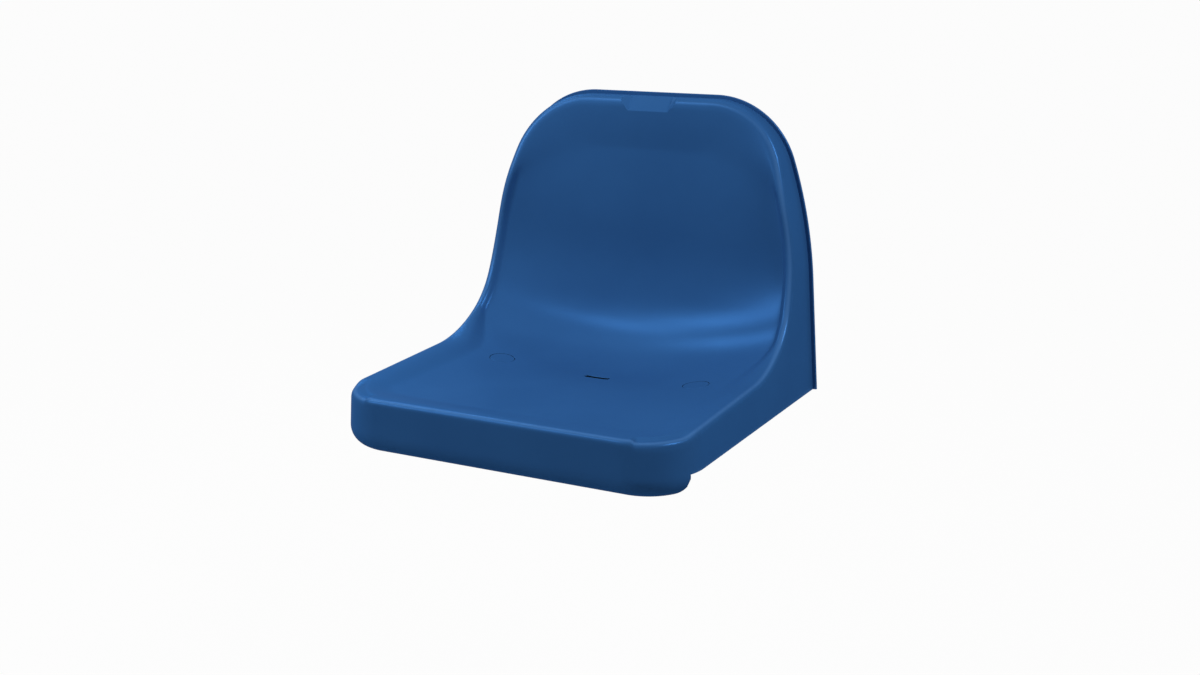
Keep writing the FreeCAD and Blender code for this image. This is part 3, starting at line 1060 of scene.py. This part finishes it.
    def foot_inset(self, path: RimPath) -> np.ndarray:
        """Finds where the bead meets the dish: near the rim beside the back, far in elsewhere.

        Args:
            path: the right half of the rim.

        Returns:
            How far in from the rim that is, at each sample.
        """
        near = np.where(path.on_plan, 0, ease(path.slope, *np.radians(self.foot_slopes_deg)))
        foot = self.soft_foot + (self.bead_foot - self.soft_foot) * near
        high = np.where(path.line.level, 1, ease(path.rim_z, *self.foot_heights))
        return foot + (self.crown_foot - foot) * high

    def lift(self, path: RimPath) -> np.ndarray:
        """How far the bead has run out into the dish: 0 beside the back, 1 over the crown."""
        return np.where(path.line.level, 1, ease(path.rim_z, *self.lift_heights))

    def bead_rings(self, path: RimPath) -> tuple[Rings, SheetEdge]:
        """Leads from the dish to the crest of the bead.

        Args:
            path: the right half of the rim.

        Returns:
            The rings of points, and where the dish ends.
        """
        foot = self.foot_inset(path)
        sunk = self.form.bead_height * self.lift(path)
        rings = []
        for share in np.linspace(0, 1, self.bead_rows + 1):
            inset = foot + (self.bead_crest - foot) * share
            low, _ = path.surface(self.top, inset)
            ring = low + (path.sheet(inset, -sunk) - low) * ease(share, 0, 1)
            ring[:, 2] -= self.lip_jog(path) * ease(-inset, -self.jog_width, -self.bead_crest)
            rings.append(ring)
        return rings, SheetEdge(path.surface(self.top, foot)[1], rings[0][:, 0])

    def rolled_rings(self, path: RimPath, y: np.ndarray, inset: float, steps: range) -> Rings:
        """Leads round the roll under the fascia.

        Args:
            path: the right half of the rim.
            y: Y of the walls' base.
            inset: how far inwards from the fascia's outer side the rings lie.
            steps: the numbers of the rings; the highest is at the end of the roll.

        Returns:
            The rings of points.
        """
        radius = self.form.fascia_roll_radius - inset
        most = self.form.rolled(path.bottom, inset)
        turns = [most * i / max(steps) for i in steps]
        return [path.skin(y, path.base_z - radius * np.sin(turn),
                          inset + radius * (1 - np.cos(turn))) for turn in turns]

    def outer_rings(self, path: RimPath) -> Rings:
        """Leads from the bead's crest down the walls, round the roll and round the flange.

        Args:
            path: the right half of the rim.

        Returns:
            The rings of points.
        """
        form, small = self.form, self.flange_round
        sunk = form.bead_height * self.lift(path)
        first = (self.bead_outer_radius + sunk) / path.distance
        outer = path.wall(first, 0.0)
        shoulder = path.sheet(self.bead_outer_radius, -sunk)
        rounded = curve_between(shoulder, path.sheet(0, -sunk), outer, self.shoulder_rows)
        rings = [shoulder, *rounded, outer]
        for ring in rings:
            ring[:, 2] -= self.lip_jog(path)
        rings += [path.wall(first + (1 - first) * i / self.wall_rows, 0.0)
                  for i in range(1, self.wall_rows + 1)]
        rings += self.rolled_rings(path, path.base_y, 0.0, range(1, self.roll_rows + 1))
        wide, thick = form.flange_width, form.flange_thickness
        for out, back in ((wide - small, 0), (wide, small), (wide, thick - small),
                          (wide - small, thick)):
            flange = path.skin(path.base_y + back, path.base_z, -out)
            rings.append(np.where(path.rear[:, None], flange, rings[-1]))
        return rings

    def hidden_rings(self, path: RimPath) -> tuple[Rings, SheetEdge]:
        """Leads from the walls' base up their hidden side to the hidden surface.

        Args:
            path: the right half of the rim.

        Returns:
            The rings of points, and where the hidden surface ends.
        """
        wall = self.form.wall
        base_y = np.where(path.rear, self.form.rear_reach, path.base_y)
        rings = self.rolled_rings(path, base_y, wall, range(self.hidden_roll_rows, -1, -1))
        last = np.minimum(self.hidden_reach / path.distance, self.hidden_share)
        rings += [path.wall(1 - (1 - last) * i / self.hidden_wall_rows, wall)
                  for i in range(1, self.hidden_wall_rows + 1)]
        edge, places = path.surface(self.under, wall)
        backed = [self.recess.backed(ring, self.top, wall) for ring in (*rings, edge)]
        return backed, SheetEdge(places, edge[:, 0])

    @staticmethod
    def whole(half: np.ndarray) -> np.ndarray:
        """A whole ring of points or shares, made of the right half and its mirror image."""
        return np.concatenate([half, half[-2:0:-1] * ((-1, 1, 1) if half.ndim == 2 else 1)])

    def sheet(self, weave: Weave, dish: Dish, line: Outline, loop: np.ndarray, edge: SheetEdge
              ) -> tuple[np.ndarray, np.ndarray]:
        """Points of a dished sheet, row by row, joined to the ring that goes round it.

        Args:
            weave: where the points are added.
            dish: the surface.
            line: the samples along the rim.
            loop: the numbers of the ring's points.
            edge: where the sheet ends.

        Returns:
            The numbers of the points, and the points, both by row and column.
        """
        ends = line.column == self.columns
        across = np.linspace(-1, 1, self.columns + 1)
        points = dish.at(edge.half_widths[ends][:, None] * across, edge.places[ends][:, None])
        if dish is self.under:
            points = self.recess.backed(points, self.top, self.form.wall)
        give = ease(points[..., 2], *self.give_heights) if dish is self.top else 0.0
        numbers = weave.add(points, give=give)
        count = len(line.run)
        numbers[line.row, line.column] = loop[:count]
        numbers[line.row[1:-1], self.columns - line.column[1:-1]] = loop[:count - 1:-1]
        return numbers, points

    def shade_hole_walls(self, mesh: bpy.types.Mesh) -> None:
        """Gives the walls of the slot and of the cap seats the mesh's second material, a dark one
        that paints shade on them.

        Args:
            mesh: the dressed shell.
        """
        for hole in self.holes:
            mouth, (inner, outer) = hole.mouth, hole.shade_band
            for face in mesh.polygons:
                x, y, z = face.center
                long = max(abs(x - mouth.x) - mouth.half_length, 0)
                past = math.hypot(long, y - mouth.y) - mouth.radius
                if z > self.shade_height and inner < past < outer:
                    face.material_index = 1

    def around_hole(self, points: np.ndarray, hole: Stadium, margin: float
                    ) -> tuple[int, int, int, int]:
        """Finds the block of a sheet's cells that a hole's patch takes the place of.

        Args:
            points: the sheet's points by row and column.
            hole: the hole.
            margin: how far the block reaches past the hole.

        Returns:
            First and last row, then first and last column.
        """
        column = np.argmin(abs(points[0, :, 0] - hole.x))
        front = np.arange(len(points)) < len(points) // 2
        y = np.where(front, points[:, column, 1], np.inf)
        x = points[np.argmin(abs(y - hole.y)), :, 0]
        wide = hole.radius + margin
        long = hole.half_length + hole.radius + margin
        return (np.flatnonzero(y <= hole.y - wide)[-1], np.flatnonzero(y >= hole.y + wide)[0],
                np.flatnonzero(x <= hole.x - long)[-1], np.flatnonzero(x >= hole.x + long)[0])

    def weave_rings(self, weave: Weave, path: RimPath, rings: Rings) -> np.ndarray:
        """Adds the rings that go round the shell, with their painted crest highlight and how they
        give.

        Args:
            weave: where they are added.
            path: the right half of the rim.
            rings: the right halves of the rings.

        Returns:
            The numbers of the points, ring by ring.
        """
        foot = self.foot_inset(path)
        spread = 1 + (self.crown_highlight - 1) * self.lift(path)
        # Painted highlight on the rings of the crest and its outer rounding, rising and falling
        # over a few rings.
        highlight_shares = np.interp(np.arange(len(rings)), self.bead_rows + np.array(self.highlight_rows),
                           (0, 1, 0))
        loops = []
        for i, ring in enumerate(rings):
            inset = foot + (self.bead_crest - foot) * min(i / self.bead_rows, 1)
            give = ease(inset, *self.give_insets) * ease(ring[:, 2], *self.give_heights)
            loops.append(weave.add(self.whole(ring), self.whole(highlight_shares[i] * spread),
                                   self.whole(give)))
        return np.array(loops)

    def build(self) -> bpy.types.Mesh:
        """Makes the shell as one closed skin.

        Returns:
            Its mesh.
        """
        line = self.outline()
        path = RimPath(self.form, self.rim, line)
        over, top_edge = self.bead_rings(path)
        hidden, under_edge = self.hidden_rings(path)
        weave = Weave()
        loops = self.weave_rings(weave, path, [*over, *self.outer_rings(path), *hidden])
        weave.fill(loops, closed=True)
        top, top_points = self.sheet(weave, self.top, line, loops[0], top_edge)
        under, under_points = self.sheet(weave, self.under, line, loops[-1], under_edge)
        keep = np.ones((len(top) - 1, self.columns), bool)
        for hole in self.holes:
            block = self.around_hole(top_points, hole.mouth, hole.margin)
            first, last, left, right = block
            keep[first:last, left:right] = False
            start, end, start_points, end_points = [
                border(grid, *block) for grid in (top, under, top_points, under_points)]
            rows = hole.rows(self, (right - left, last - first), start_points, end_points)
            weave.fill(np.array([start, *map(weave.add, rows), end]), closed=True)
        for grid in (top, under):
            weave.fill(grid, keep=keep)
        mesh = weave.mesh("seat_moulding", self.sharp_deg)
        soften(mesh, self.passes)
        return mesh

    def dress(self, plastic: bpy.types.Material, painted_shade: bpy.types.Material) -> None:
        """Places the shell with its recess and its ribs.

        Args:
            plastic: the shell's finish.
            painted_shade: the dark finish that paints shade on the slot's walls and on the cap
                seats' walls.
        """
        seat = show("seat_moulding", self.build(), plastic)
        self.recess.carve(seat, self.top, self.sharp_deg)
        seat.data = joined("seat_moulding", [seat.data, RibGrid().build(self)])
        for material in (plastic, painted_shade):
            seat.data.materials.append(material)
        # The walls of the slot and of the cap seats get the dark finish that paints shade.
        self.shade_hole_walls(seat.data)
        declare(seat, "seat", "seat_shell")


@dataclass(frozen=True)
class RibGrid:
    """The ribs that stiffen the pan and the back on their hidden side."""

    thickness: float = 0.0026
    depth: float = 0.0090
    long_places: tuple[float, ...] = (-0.130, -0.065, 0.065, 0.130)
    pan_places: tuple[float, ...] = (-0.140, -0.045)
    back_heights: tuple[float, ...] = (0.165, 0.255)
    step: float = 0.004
    height_samples: int = 200

    def build(self, shell: SeatShell) -> bpy.types.Mesh:
        """Makes the ribs, each a closed bar that starts inside the shell's wall.

        Args:
            shell: the shell that they stiffen.

        Returns:
            Their mesh.
        """
        form, half = shell.form, self.thickness / 2
        weave = Weave()
        sheets = Dish(form, form.wall / 2), Dish(form, form.wall + self.depth)

        def rib(find: Callable[[Dish, float], np.ndarray]) -> None:
            """Adds a rib along the points that find gives on a sheet, beside its middle."""
            weave.bar(np.stack([find(dish, beside) for beside, pair in
                                ((-half, sheets), (half, sheets[::-1])) for dish in pair], 1))

        for x in self.long_places:
            for y, z in self.stretches(shell, x):
                rib(lambda dish, beside: dish.at(x + beside, dish.beside(y, z)))
        across = np.arange(self.long_places[0], self.long_places[-1] + self.step / 2, self.step)
        for places, level in ((self.pan_places, Level.DEPTH), (self.back_heights, Level.HEIGHT)):
            for place in places:
                rib(lambda dish, beside: dish.meet(across, place + beside, level))
        return weave.mesh("ribs", shell.sharp_deg)

    def stretches(self, shell: SeatShell, x: float) -> list[tuple[np.ndarray, np.ndarray]]:
        """Finds where a long rib runs, with a gap where it meets a well.

        Args:
            shell: the shell.
            x: X of the rib.

        Returns:
            Y and Z of the rim beside each stretch of the rib.
        """
        form, rim = shell.form, shell.rim
        skin = form.wall / 2
        heights = np.linspace(form.hub_z, form.back_height - skin, self.height_samples)
        inside = form.arch(heights)[0] - skin >= abs(x) + self.thickness / 2
        run = np.arange(rim.run[np.argmax(rim.y >= skin - form.front_reach)],
                        rim.run[np.argmax(rim.z >= heights[inside][-1])], self.step)
        y, z, _ = rim.at(run)
        parts = [np.ones(len(y), bool)]
        for hole in shell.holes:
            if isinstance(hole, FixingWell) and abs(hole.x - x) < hole.outer_radius:
                reach = (hole.radius + hole.outer_radius) / 2
                parts = [y < -reach, (y > reach) | (z > form.hub_z)]
        return [(y[part], z[part]) for part in parts]


@dataclass(frozen=True)
class FixingCap:
    """A snap-in cap that lies flush in the dish, with four springy legs under it."""

    x: float
    radius: float = 0.0150
    thickness: float = 0.0026
    round: float = 0.0004
    leg_radius: float = 0.0127
    leg_inside: float = 0.0104
    leg_half_width: float = 0.0035
    leg_depth: float = 0.0090
    leg_angles_deg: tuple[float, ...] = (45.0, 135.0, 225.0, 315.0)
    tip: float = 0.0012
    tip_round: float = 0.0005
    leg_points: int = 5
    top_shares: tuple[float, ...] = (0, 0.25, 0.5, 0.75, 0.9, 1)
    sides: int = 72
    sharp_deg: float = 40.0

    def build(self, shell: SeatShell) -> bpy.types.Mesh:
        """Makes the cap, flush with the shell's dish.

        Args:
            shell: the shell that it lies in.

        Returns:
            Its mesh.
        """
        turn = np.linspace(0, 2 * math.pi, self.sides, endpoint=False)
        circle = np.stack([np.cos(turn), np.sin(turn)], 1)
        middle, flat = (self.x, 0), self.radius - self.round
        rims = [(flat * share, 0.0) for share in self.top_shares]
        rims += [(flat + self.round * math.sin(angle), self.round * (1 - math.cos(angle)))
                 for angle in ROUND_TURNS]
        rows = [shell.top.at_plan(circle * radius + middle) - (0, 0, drop)
                for radius, drop in rims]
        rows += [shell.cap_plane(self.x, circle * radius + middle, self.thickness)
                 for radius in (self.radius, self.radius / 2, 0)]
        weave = Weave()
        weave.fill(weave.add(np.array(rows)), closed=True)
        for angle in np.radians(self.leg_angles_deg):
            weave.bar(self.leg(shell, angle))
        return weave.mesh("fixing_cap", self.sharp_deg)

    def dress(self, shell: SeatShell, side: Side, plastic: bpy.types.Material) -> None:
        """Places the cap.

        Args:
            shell: the shell that it lies in.
            side: the side of the seat that it is on.
            plastic: its finish.
        """
        cap = show(f"cap_{side.value}_disc", self.build(shell), plastic)
        declare(cap, f"cap_{side.value}", f"fixing_cap_{side.value}")

    def leg(self, shell: SeatShell, angle: float) -> np.ndarray:
        """Draws one leg.

        Args:
            shell: the shell that the cap lies in.
            angle: where the leg is, round the cap's axis.

        Returns:
            The leg's sections, from inside the cap down to its rounded tip.
        """
        half = math.asin(self.leg_half_width / self.leg_radius)
        bend = np.linspace(-half, half, self.leg_points)
        y = self.leg_radius * np.sin(bend)
        middle = shell.top.at_plan(np.array([(self.x, 0.0)]))[0, 2]
        low = middle - self.thickness - self.leg_depth
        turned = np.array([(math.cos(angle), math.sin(angle)),
                           (-math.sin(angle), math.cos(angle))])
        rows = []
        for height, inset in ((None, 0), (low + self.tip, 0), (low, self.tip_round)):
            outer = np.stack([self.leg_radius * np.cos(bend) - inset, y], 1)
            inner = np.stack([np.full(len(y), self.leg_inside + inset), y], 1)[::-1]
            plan = np.concatenate([outer, inner]) @ turned + (self.x, 0)
            rows.append(shell.cap_plane(self.x, plan, self.thickness / 2) if height is None
                        else np.column_stack([plan, np.full(len(plan), height)]))
        return np.array(rows)


@dataclass(frozen=True)
class FixingBolt:
    """An M10 hexagon bolt with a cut thread, a chamfered head and a chamfered end."""

    x: float
    low: float = 0.0122
    length: float = 0.045
    head_height: float = 0.0064
    head_half_width: float = 0.008
    head_chamfer: float = 0.0008
    thread_radius: float = 0.005
    thread_depth: float = 0.0009
    pitch: float = 0.0015
    plain_radius: float = 0.0048
    run_out: float = 0.0016
    thread_slope: float = 1.6
    thread_root: float = 0.2
    end_share: float = 0.78
    washer_face_share: float = 0.98
    corner_share: float = 1.155
    corner_cut: float = 0.205
    chamfer_rows: int = 6
    sides: int = 48
    steps: int = 8
    sharp_deg: float = 35.0

    def build(self) -> bpy.types.Mesh:
        """Makes the bolt, from the end of its thread to the top of its head.

        Returns:
            Its mesh.
        """
        turn = np.linspace(0, 2 * math.pi, self.sides, endpoint=False)
        end = self.low - self.length
        rows = [self.ring(turn, 0 * turn, end)]
        for z in np.arange(end, 0, self.pitch / self.steps):
            place = (z / self.pitch - turn / (2 * math.pi)) % 1
            flank = self.thread_slope * (1 - abs(2 * place - 1)) - self.thread_root
            depth = np.clip(flank, 0, 1) * self.thread_depth * min(1, -z / self.run_out)
            tapered = self.thread_radius * self.end_share + z - end
            rows.append(self.ring(turn, np.minimum(self.thread_radius - depth, tapered), z))
        rows += [self.ring(turn, self.plain_radius + 0 * turn, z) for z in (0, self.low)]
        half = self.head_half_width
        hexagon = half / np.cos(turn % (math.pi / 3) - math.pi / 6)
        top = self.low + self.head_height
        rows.append(self.ring(turn, np.minimum(hexagon, half * self.washer_face_share), self.low))
        rows.append(self.ring(turn, hexagon, self.low + self.head_chamfer / 2))
        for share in np.linspace(0, 1, self.chamfer_rows):
            radius = half * (self.corner_share - self.corner_cut * share)
            rows.append(self.ring(turn, np.minimum(hexagon, radius),
                                  top - self.head_chamfer * (1 - share)))
        rows.append(self.ring(turn, 0 * turn, top))
        weave = Weave()
        weave.fill(weave.add(np.array(rows)), closed=True)
        return weave.mesh("fixing_bolt", self.sharp_deg)

    def ring(self, turn: np.ndarray, radius: np.ndarray, z: float) -> np.ndarray:
        """Points round the bolt's axis at one height."""
        return np.stack([self.x + radius * np.cos(turn), radius * np.sin(turn), z + 0 * turn], 1)

    def dress(self, side: Side, zinc: bpy.types.Material) -> None:
        """Places the bolt and gives its finish to its washers, which keep their CAD shapes.

        Args:
            side: the side of the seat that it is on.
            zinc: the finish.
        """
        bolt = show(f"bolt_{side.value}", self.build(), zinc)
        declare(bolt, "seat", f"fixing_bolt_{side.value}")
        for washer in (f"flat_washer_{side.value}", f"spring_washer_{side.value}"):
            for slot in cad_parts[washer].material_slots:
                slot.material = zinc
            log.info("%s: zinc plated", washer)


class Sum(Enum):
    """What a node makes of its values."""

    LARGER = "MAXIMUM"
    SCALED = "MULTIPLY_ADD"


@dataclass(frozen=True)
class Nodes:
    """Builds the nodes of a material or of the world."""

    tree: bpy.types.NodeTree

    @classmethod
    def of(cls, owner: bpy.types.Material | bpy.types.World) -> "Nodes":
        """Turns on the nodes of a material or of the world."""
        owner.use_nodes = True
        return cls(owner.node_tree)

    def add(self, kind: str, *values: object, **inputs: object) -> bpy.types.Node:
        """Adds a node.

        Args:
            kind: Blender's name of the node, without its first part.
            values: values or links for its first inputs.
            inputs: values or links for its inputs by name, with _ for a space.

        Returns:
            The node.
        """
        node = self.tree.nodes.new("ShaderNode" + kind)
        for socket, value in zip(node.inputs, values):
            self.feed(socket, value)
        return self.fill(node, **inputs)

    def fill(self, node: bpy.types.Node, **inputs: object) -> bpy.types.Node:
        """Feeds a node's inputs by name, with _ for a space, and gives the node back."""
        for name, value in inputs.items():
            self.feed(node.inputs[name.replace("_", " ")], value)
        return node

    def feed(self, socket: bpy.types.NodeSocket, value: object) -> None:
        """Feeds a socket.

        Args:
            socket: the socket.
            value: what it is set to, or another socket to link it to.
        """
        if isinstance(value, bpy.types.NodeSocket):
            self.tree.links.new(value, socket)
        else:
            socket.default_value = value

    def shade(self, **inputs: object) -> bpy.types.NodeSocket:
        """Feeds the shader that a new material starts with, and gives its output."""
        return self.fill(self.tree.nodes["Principled BSDF"], **inputs).outputs[0]

    def noise(self, scale: float, detail: float) -> bpy.types.NodeSocket:
        """Soft noise that stays with the object."""
        place = self.add("TexCoord").outputs["Object"]
        return self.add("TexNoise", Vector=place, Scale=scale, Detail=detail).outputs["Fac"]

    def ramp(self, share: bpy.types.NodeSocket, *stops: tuple[float, float]
             ) -> bpy.types.NodeSocket:
        """Maps a share through a smooth ramp of grey levels.

        Args:
            share: the share.
            stops: where each grey level is, and the level.

        Returns:
            The grey level.
        """
        node = self.add("ValToRGB", share)
        node.color_ramp.interpolation = "EASE"
        for element, (place, level) in zip(node.color_ramp.elements, stops):
            element.position = place
            element.color = (level, level, level, 1)
        return node.outputs["Color"]

    def maths(self, kind: Sum, *values: object) -> bpy.types.NodeSocket:
        """Works out a sum of up to three values."""
        node = self.add("Math", *values)
        node.operation = kind.value
        return node.outputs[0]

    def mix(self, share: object, first: object, second: object) -> bpy.types.NodeSocket:
        """Mixes two colours.

        Args:
            share: how much of the second colour there is.
            first: the first colour.
            second: the second colour.

        Returns:
            The mixed colour.
        """
        node = self.add("Mix", share)
        node.data_type = "RGBA"
        self.feed(node.inputs[6], first)
        self.feed(node.inputs[7], second)
        return node.outputs[2]

    def bump(self, height: bpy.types.NodeSocket, depth: float, **inputs: object
             ) -> bpy.types.NodeSocket:
        """Raises the surface by a height from 0 to 1, of a depth."""
        return self.add("Bump", Height=height, Distance=depth, **inputs).outputs["Normal"]

    def by_ray(self, seen: bpy.types.NodeSocket, other: bpy.types.NodeSocket
               ) -> bpy.types.NodeSocket:
        """Mixes what is seen with what lights the object.

        Args:
            seen: the shader that the eye, mirrors and glass see.
            other: the shader that lights the object.

        Returns:
            The mixed shader.
        """
        path = self.add("LightPath").outputs
        most = path["Is Camera Ray"]
        for name in ("Is Glossy Ray", "Is Transmission Ray"):
            most = self.maths(Sum.LARGER, most, path[name])
        return self.add("MixShader", most, other, seen).outputs[0]


class Finish:
    """A finish made of nodes."""

    name: str

    def dress(self, nodes: Nodes) -> None:
        """Feeds the nodes of a new material.

        Args:
            nodes: the nodes of the new material.
        """
        raise NotImplementedError

    def make(self) -> bpy.types.Material:
        """Makes the material."""
        material = bpy.data.materials.new(self.name)
        self.dress(Nodes.of(material))
        return material


@dataclass(frozen=True)
class MouldedPlastic(Finish):
    """Satin moulded polypropylene with a fine grain, uneven pigment, a painted highlight along the
    bead's crest and paler convex edges, part rubbed wear and part painted highlight.
    """

    name: str
    colour: Colour
    # Pale colour of the painted crest highlight and of the convex edges, part rubbed wear and part
    # painted highlight.
    pale: Colour
    deep: Colour
    roughness: float = 0.31
    roughness_range: float = 0.12
    specular: float = 0.0
    pearl: float = 0.14
    edge_gloss: Colour = (0.45, 0.55, 0.85)
    # How much of the pale colour the painted crest highlight mixes in.
    painted_highlight: float = 0.8
    cloud_scale: float = 9.0
    cloud_stops: tuple[tuple[float, float], ...] = ((0.30, 0.0), (0.70, 1.0))
    edge_stops: tuple[tuple[float, float], ...] = ((0.515, 0.0), (0.60, 0.55))
    grain_scale: float = 2600.0
    grain_depth: float = 0.00002
    ripple_scale: float = 38.0
    ripple_depth: float = 0.00012

    def dress(self, nodes: Nodes) -> None:
        """Mixes the pigment, then paints the convex edges paler as rubbed wear and painted
        highlight, paints a highlight along the crest and adds the grain.

        Args:
            nodes: the nodes of the new material.
        """
        pale = (*self.pale, 1)
        grain = nodes.noise(self.grain_scale, 2.0)
        ripple = nodes.noise(self.ripple_scale, 3.0)
        cloud = nodes.ramp(nodes.noise(self.cloud_scale, 4.0), *self.cloud_stops)
        tone = nodes.mix(cloud, (*self.deep, 1), (*self.colour, 1))
        # Convex edges painted toward the pale colour by their pointiness: part rubbed wear, part
        # painted highlight.
        edges = nodes.ramp(nodes.add("NewGeometry").outputs["Pointiness"], *self.edge_stops)
        # Painted highlight along the bead's crest, from the shares that the points carry.
        crest = nodes.add("Attribute")
        crest.attribute_name = Layer.CREST_HIGHLIGHT.value
        line = nodes.ramp(crest.outputs["Fac"], (0.0, 0.0), (1.0, self.painted_highlight))
        waves = nodes.bump(ripple, self.ripple_depth)
        nodes.shade(
            Base_Color=nodes.mix(line, nodes.mix(edges, tone, pale), pale),
            Roughness=nodes.maths(Sum.SCALED, grain, self.roughness_range,
                                  self.roughness - self.roughness_range / 2),
            Specular_IOR_Level=self.specular, Specular_Tint=(*self.edge_gloss, 1),
            Metallic=self.pearl, Normal=nodes.bump(grain, self.grain_depth, Normal=waves))


@dataclass(frozen=True)
class ZincPlate(Finish):
    """Bright zinc plating, slightly clouded, with fine scratches."""

    name: str = "zinc_plate"
    bright: Colour = (0.70, 0.71, 0.70)
    dull: Colour = (0.50, 0.51, 0.52)
    cloud_scale: float = 420.0
    scratch_scale: float = 900.0
    scratch_depth: float = 0.00002
    smoothest: float = 0.22
    roughness_range: float = 0.25

    def dress(self, nodes: Nodes) -> None:
        """Clouds the plating and scratches it.

        Args:
            nodes: the nodes of the new material.
        """
        place = nodes.add("TexCoord").outputs["Object"]
        cloud = nodes.add("TexVoronoi", Vector=place, Scale=self.cloud_scale).outputs["Distance"]
        scratch = nodes.noise(self.scratch_scale, 6.0)
        nodes.shade(
            Base_Color=nodes.mix(cloud, (*self.bright, 1), (*self.dull, 1)), Metallic=1.0,
            Roughness=nodes.maths(Sum.SCALED, scratch, self.roughness_range, self.smoothest),
            Normal=nodes.bump(scratch, self.scratch_depth))


@dataclass(frozen=True)
class PaleFloor(Finish):
    """A plain pale floor that shows white and keeps the seat's shadow."""

    name: str = "pale_floor"
    white: float = 0.97
    grey: Colour = (0.4, 0.4, 0.4)
    roughness: float = 0.9

    def dress(self, nodes: Nodes) -> None:
        """Mixes a matt grey with white light, which only the eye, mirrors and glass see.

        Args:
            nodes: the nodes of the new material.
        """
        matt = nodes.shade(Base_Color=(*self.grey, 1), Roughness=self.roughness)
        glow = nodes.add("Emission", Color=WHITE, Strength=1.0).outputs[0]
        seen = nodes.add("MixShader", self.white, matt, glow).outputs[0]
        nodes.fill(nodes.tree.nodes["Material Output"], Surface=nodes.by_ray(seen, matt))


@dataclass(frozen=True)
class SoftLamp:
    """One soft rectangular studio lamp."""

    name: str
    place: tuple[float, float, float]
    width: float
    height: float
    watts: float
    aim: tuple[float, float, float] = (0.0, 0.0, 0.1)

    def hang(self) -> None:
        """Adds the lamp, turned towards its aim."""
        lamp = bpy.data.lights.new(self.name, "AREA")
        lamp.shape = "RECTANGLE"
        lamp.size, lamp.size_y = self.width, self.height
        lamp.energy = self.watts
        item = show(self.name, lamp)
        item.location = self.place
        way = Vector(self.aim) - Vector(self.place)
        item.rotation_euler = way.to_track_quat("-Z", "Y").to_euler()


@dataclass(frozen=True)
class Studio:
    """Pale floor, white surroundings, soft lamps and the photograph's camera."""

    floor_height: float = -0.44
    floor_half: float = 60.0
    ambient: float = 0.02
    camera_place: tuple[float, float, float] = (0.8022, -1.530, 0.515)
    camera_turn_deg: float = 27.5065
    camera_dip_deg: float = 14.2705
    lens: float = 45.115
    sight: float = 200.0
    lamps: tuple[SoftLamp, ...] = (
        SoftLamp("front_left_lamp", (-1.391, -1.252, 1.053), 0.6, 0.5, 14.0),
        SoftLamp("high_left_lamp", (-0.873, -1.201, 1.585), 0.7, 0.5, 9.5),
        SoftLamp("left_lamp", (-1.451, -0.152, 1.611), 0.5, 0.5, 9.5),
        SoftLamp("rear_left_lamp", (-1.268, 1.064, 1.393), 0.5, 0.5, 7.5),
        SoftLamp("right_lamp", (1.479, -0.129, 1.585), 0.5, 0.5, 27.5))

    def build(self) -> None:
        """Sets up the floor, the surroundings, the lamps and the camera."""
        bpy.context.scene.view_settings.view_transform = "Standard"
        self.lay_floor()
        self.whiten_room()
        for lamp in self.lamps:
            lamp.hang()
        self.set_camera()

    def lay_floor(self) -> None:
        """Lays the floor under the seat."""
        half, z = self.floor_half, self.floor_height
        mesh = bpy.data.meshes.new("floor")
        corners = [(-half, -half, z), (half, -half, z), (half, half, z), (-half, half, z)]
        mesh.from_pydata(corners, [], [(0, 1, 2, 3)])
        show("floor", mesh, PaleFloor().make())

    def whiten_room(self) -> None:
        """Surrounds the seat with white that lights it only a little."""
        world = bpy.data.worlds.new("white_room")
        bpy.context.scene.world = world
        nodes = Nodes.of(world)
        nodes.tree.nodes.remove(nodes.tree.nodes["Background"])
        seen, light = [nodes.add("Background", Color=WHITE, Strength=strength).outputs[0]
                       for strength in (1.0, self.ambient)]
        nodes.fill(nodes.tree.nodes["World Output"], Surface=nodes.by_ray(seen, light))

    def set_camera(self) -> None:
        """Places the camera as in the photograph."""
        camera = bpy.data.cameras.new("camera")
        camera.lens = self.lens
        camera.clip_end = self.sight
        item = show("camera", camera)
        item.location = self.camera_place
        item.rotation_euler = (math.radians(90 - self.camera_dip_deg), 0,
                               math.radians(self.camera_turn_deg))
        bpy.context.scene.camera = item


SEAT_BLUE = MouldedPlastic("blue_polypropylene", (0.0265, 0.105, 0.289), (0.050, 0.152, 0.375),
                           (0.0245, 0.098, 0.274))
CAP_BLUE = MouldedPlastic("blue_caps", (0.0255, 0.102, 0.281), (0.050, 0.152, 0.375),
                          (0.0235, 0.096, 0.268))
# A dark finish that paints shade on the slot's walls and the cap seats' walls.
PAINTED_SHADE = MouldedPlastic("painted_shade_walls", (0.006, 0.016, 0.034), (0.008, 0.020, 0.042),
                       (0.004, 0.010, 0.022), roughness=0.7)


def main() -> None:
    """Builds the seat's looks round its frame."""
    logging.basicConfig(format=CAPTION, level=logging.INFO)
    Studio().build()
    shell = SeatShell()
    # The second finish paints shade on the walls of the slot and of the cap seats.
    shell.dress(SEAT_BLUE.make(), PAINTED_SHADE.make())
    zinc, cap_blue = ZincPlate().make(), CAP_BLUE.make()
    for side, well in zip(Side, (shell.holes[0], shell.holes[-1])):
        FixingCap(well.x).dress(shell, side, cap_blue)
        FixingBolt(well.x).dress(side, zinc)


if __name__ == "__main__":
    main()
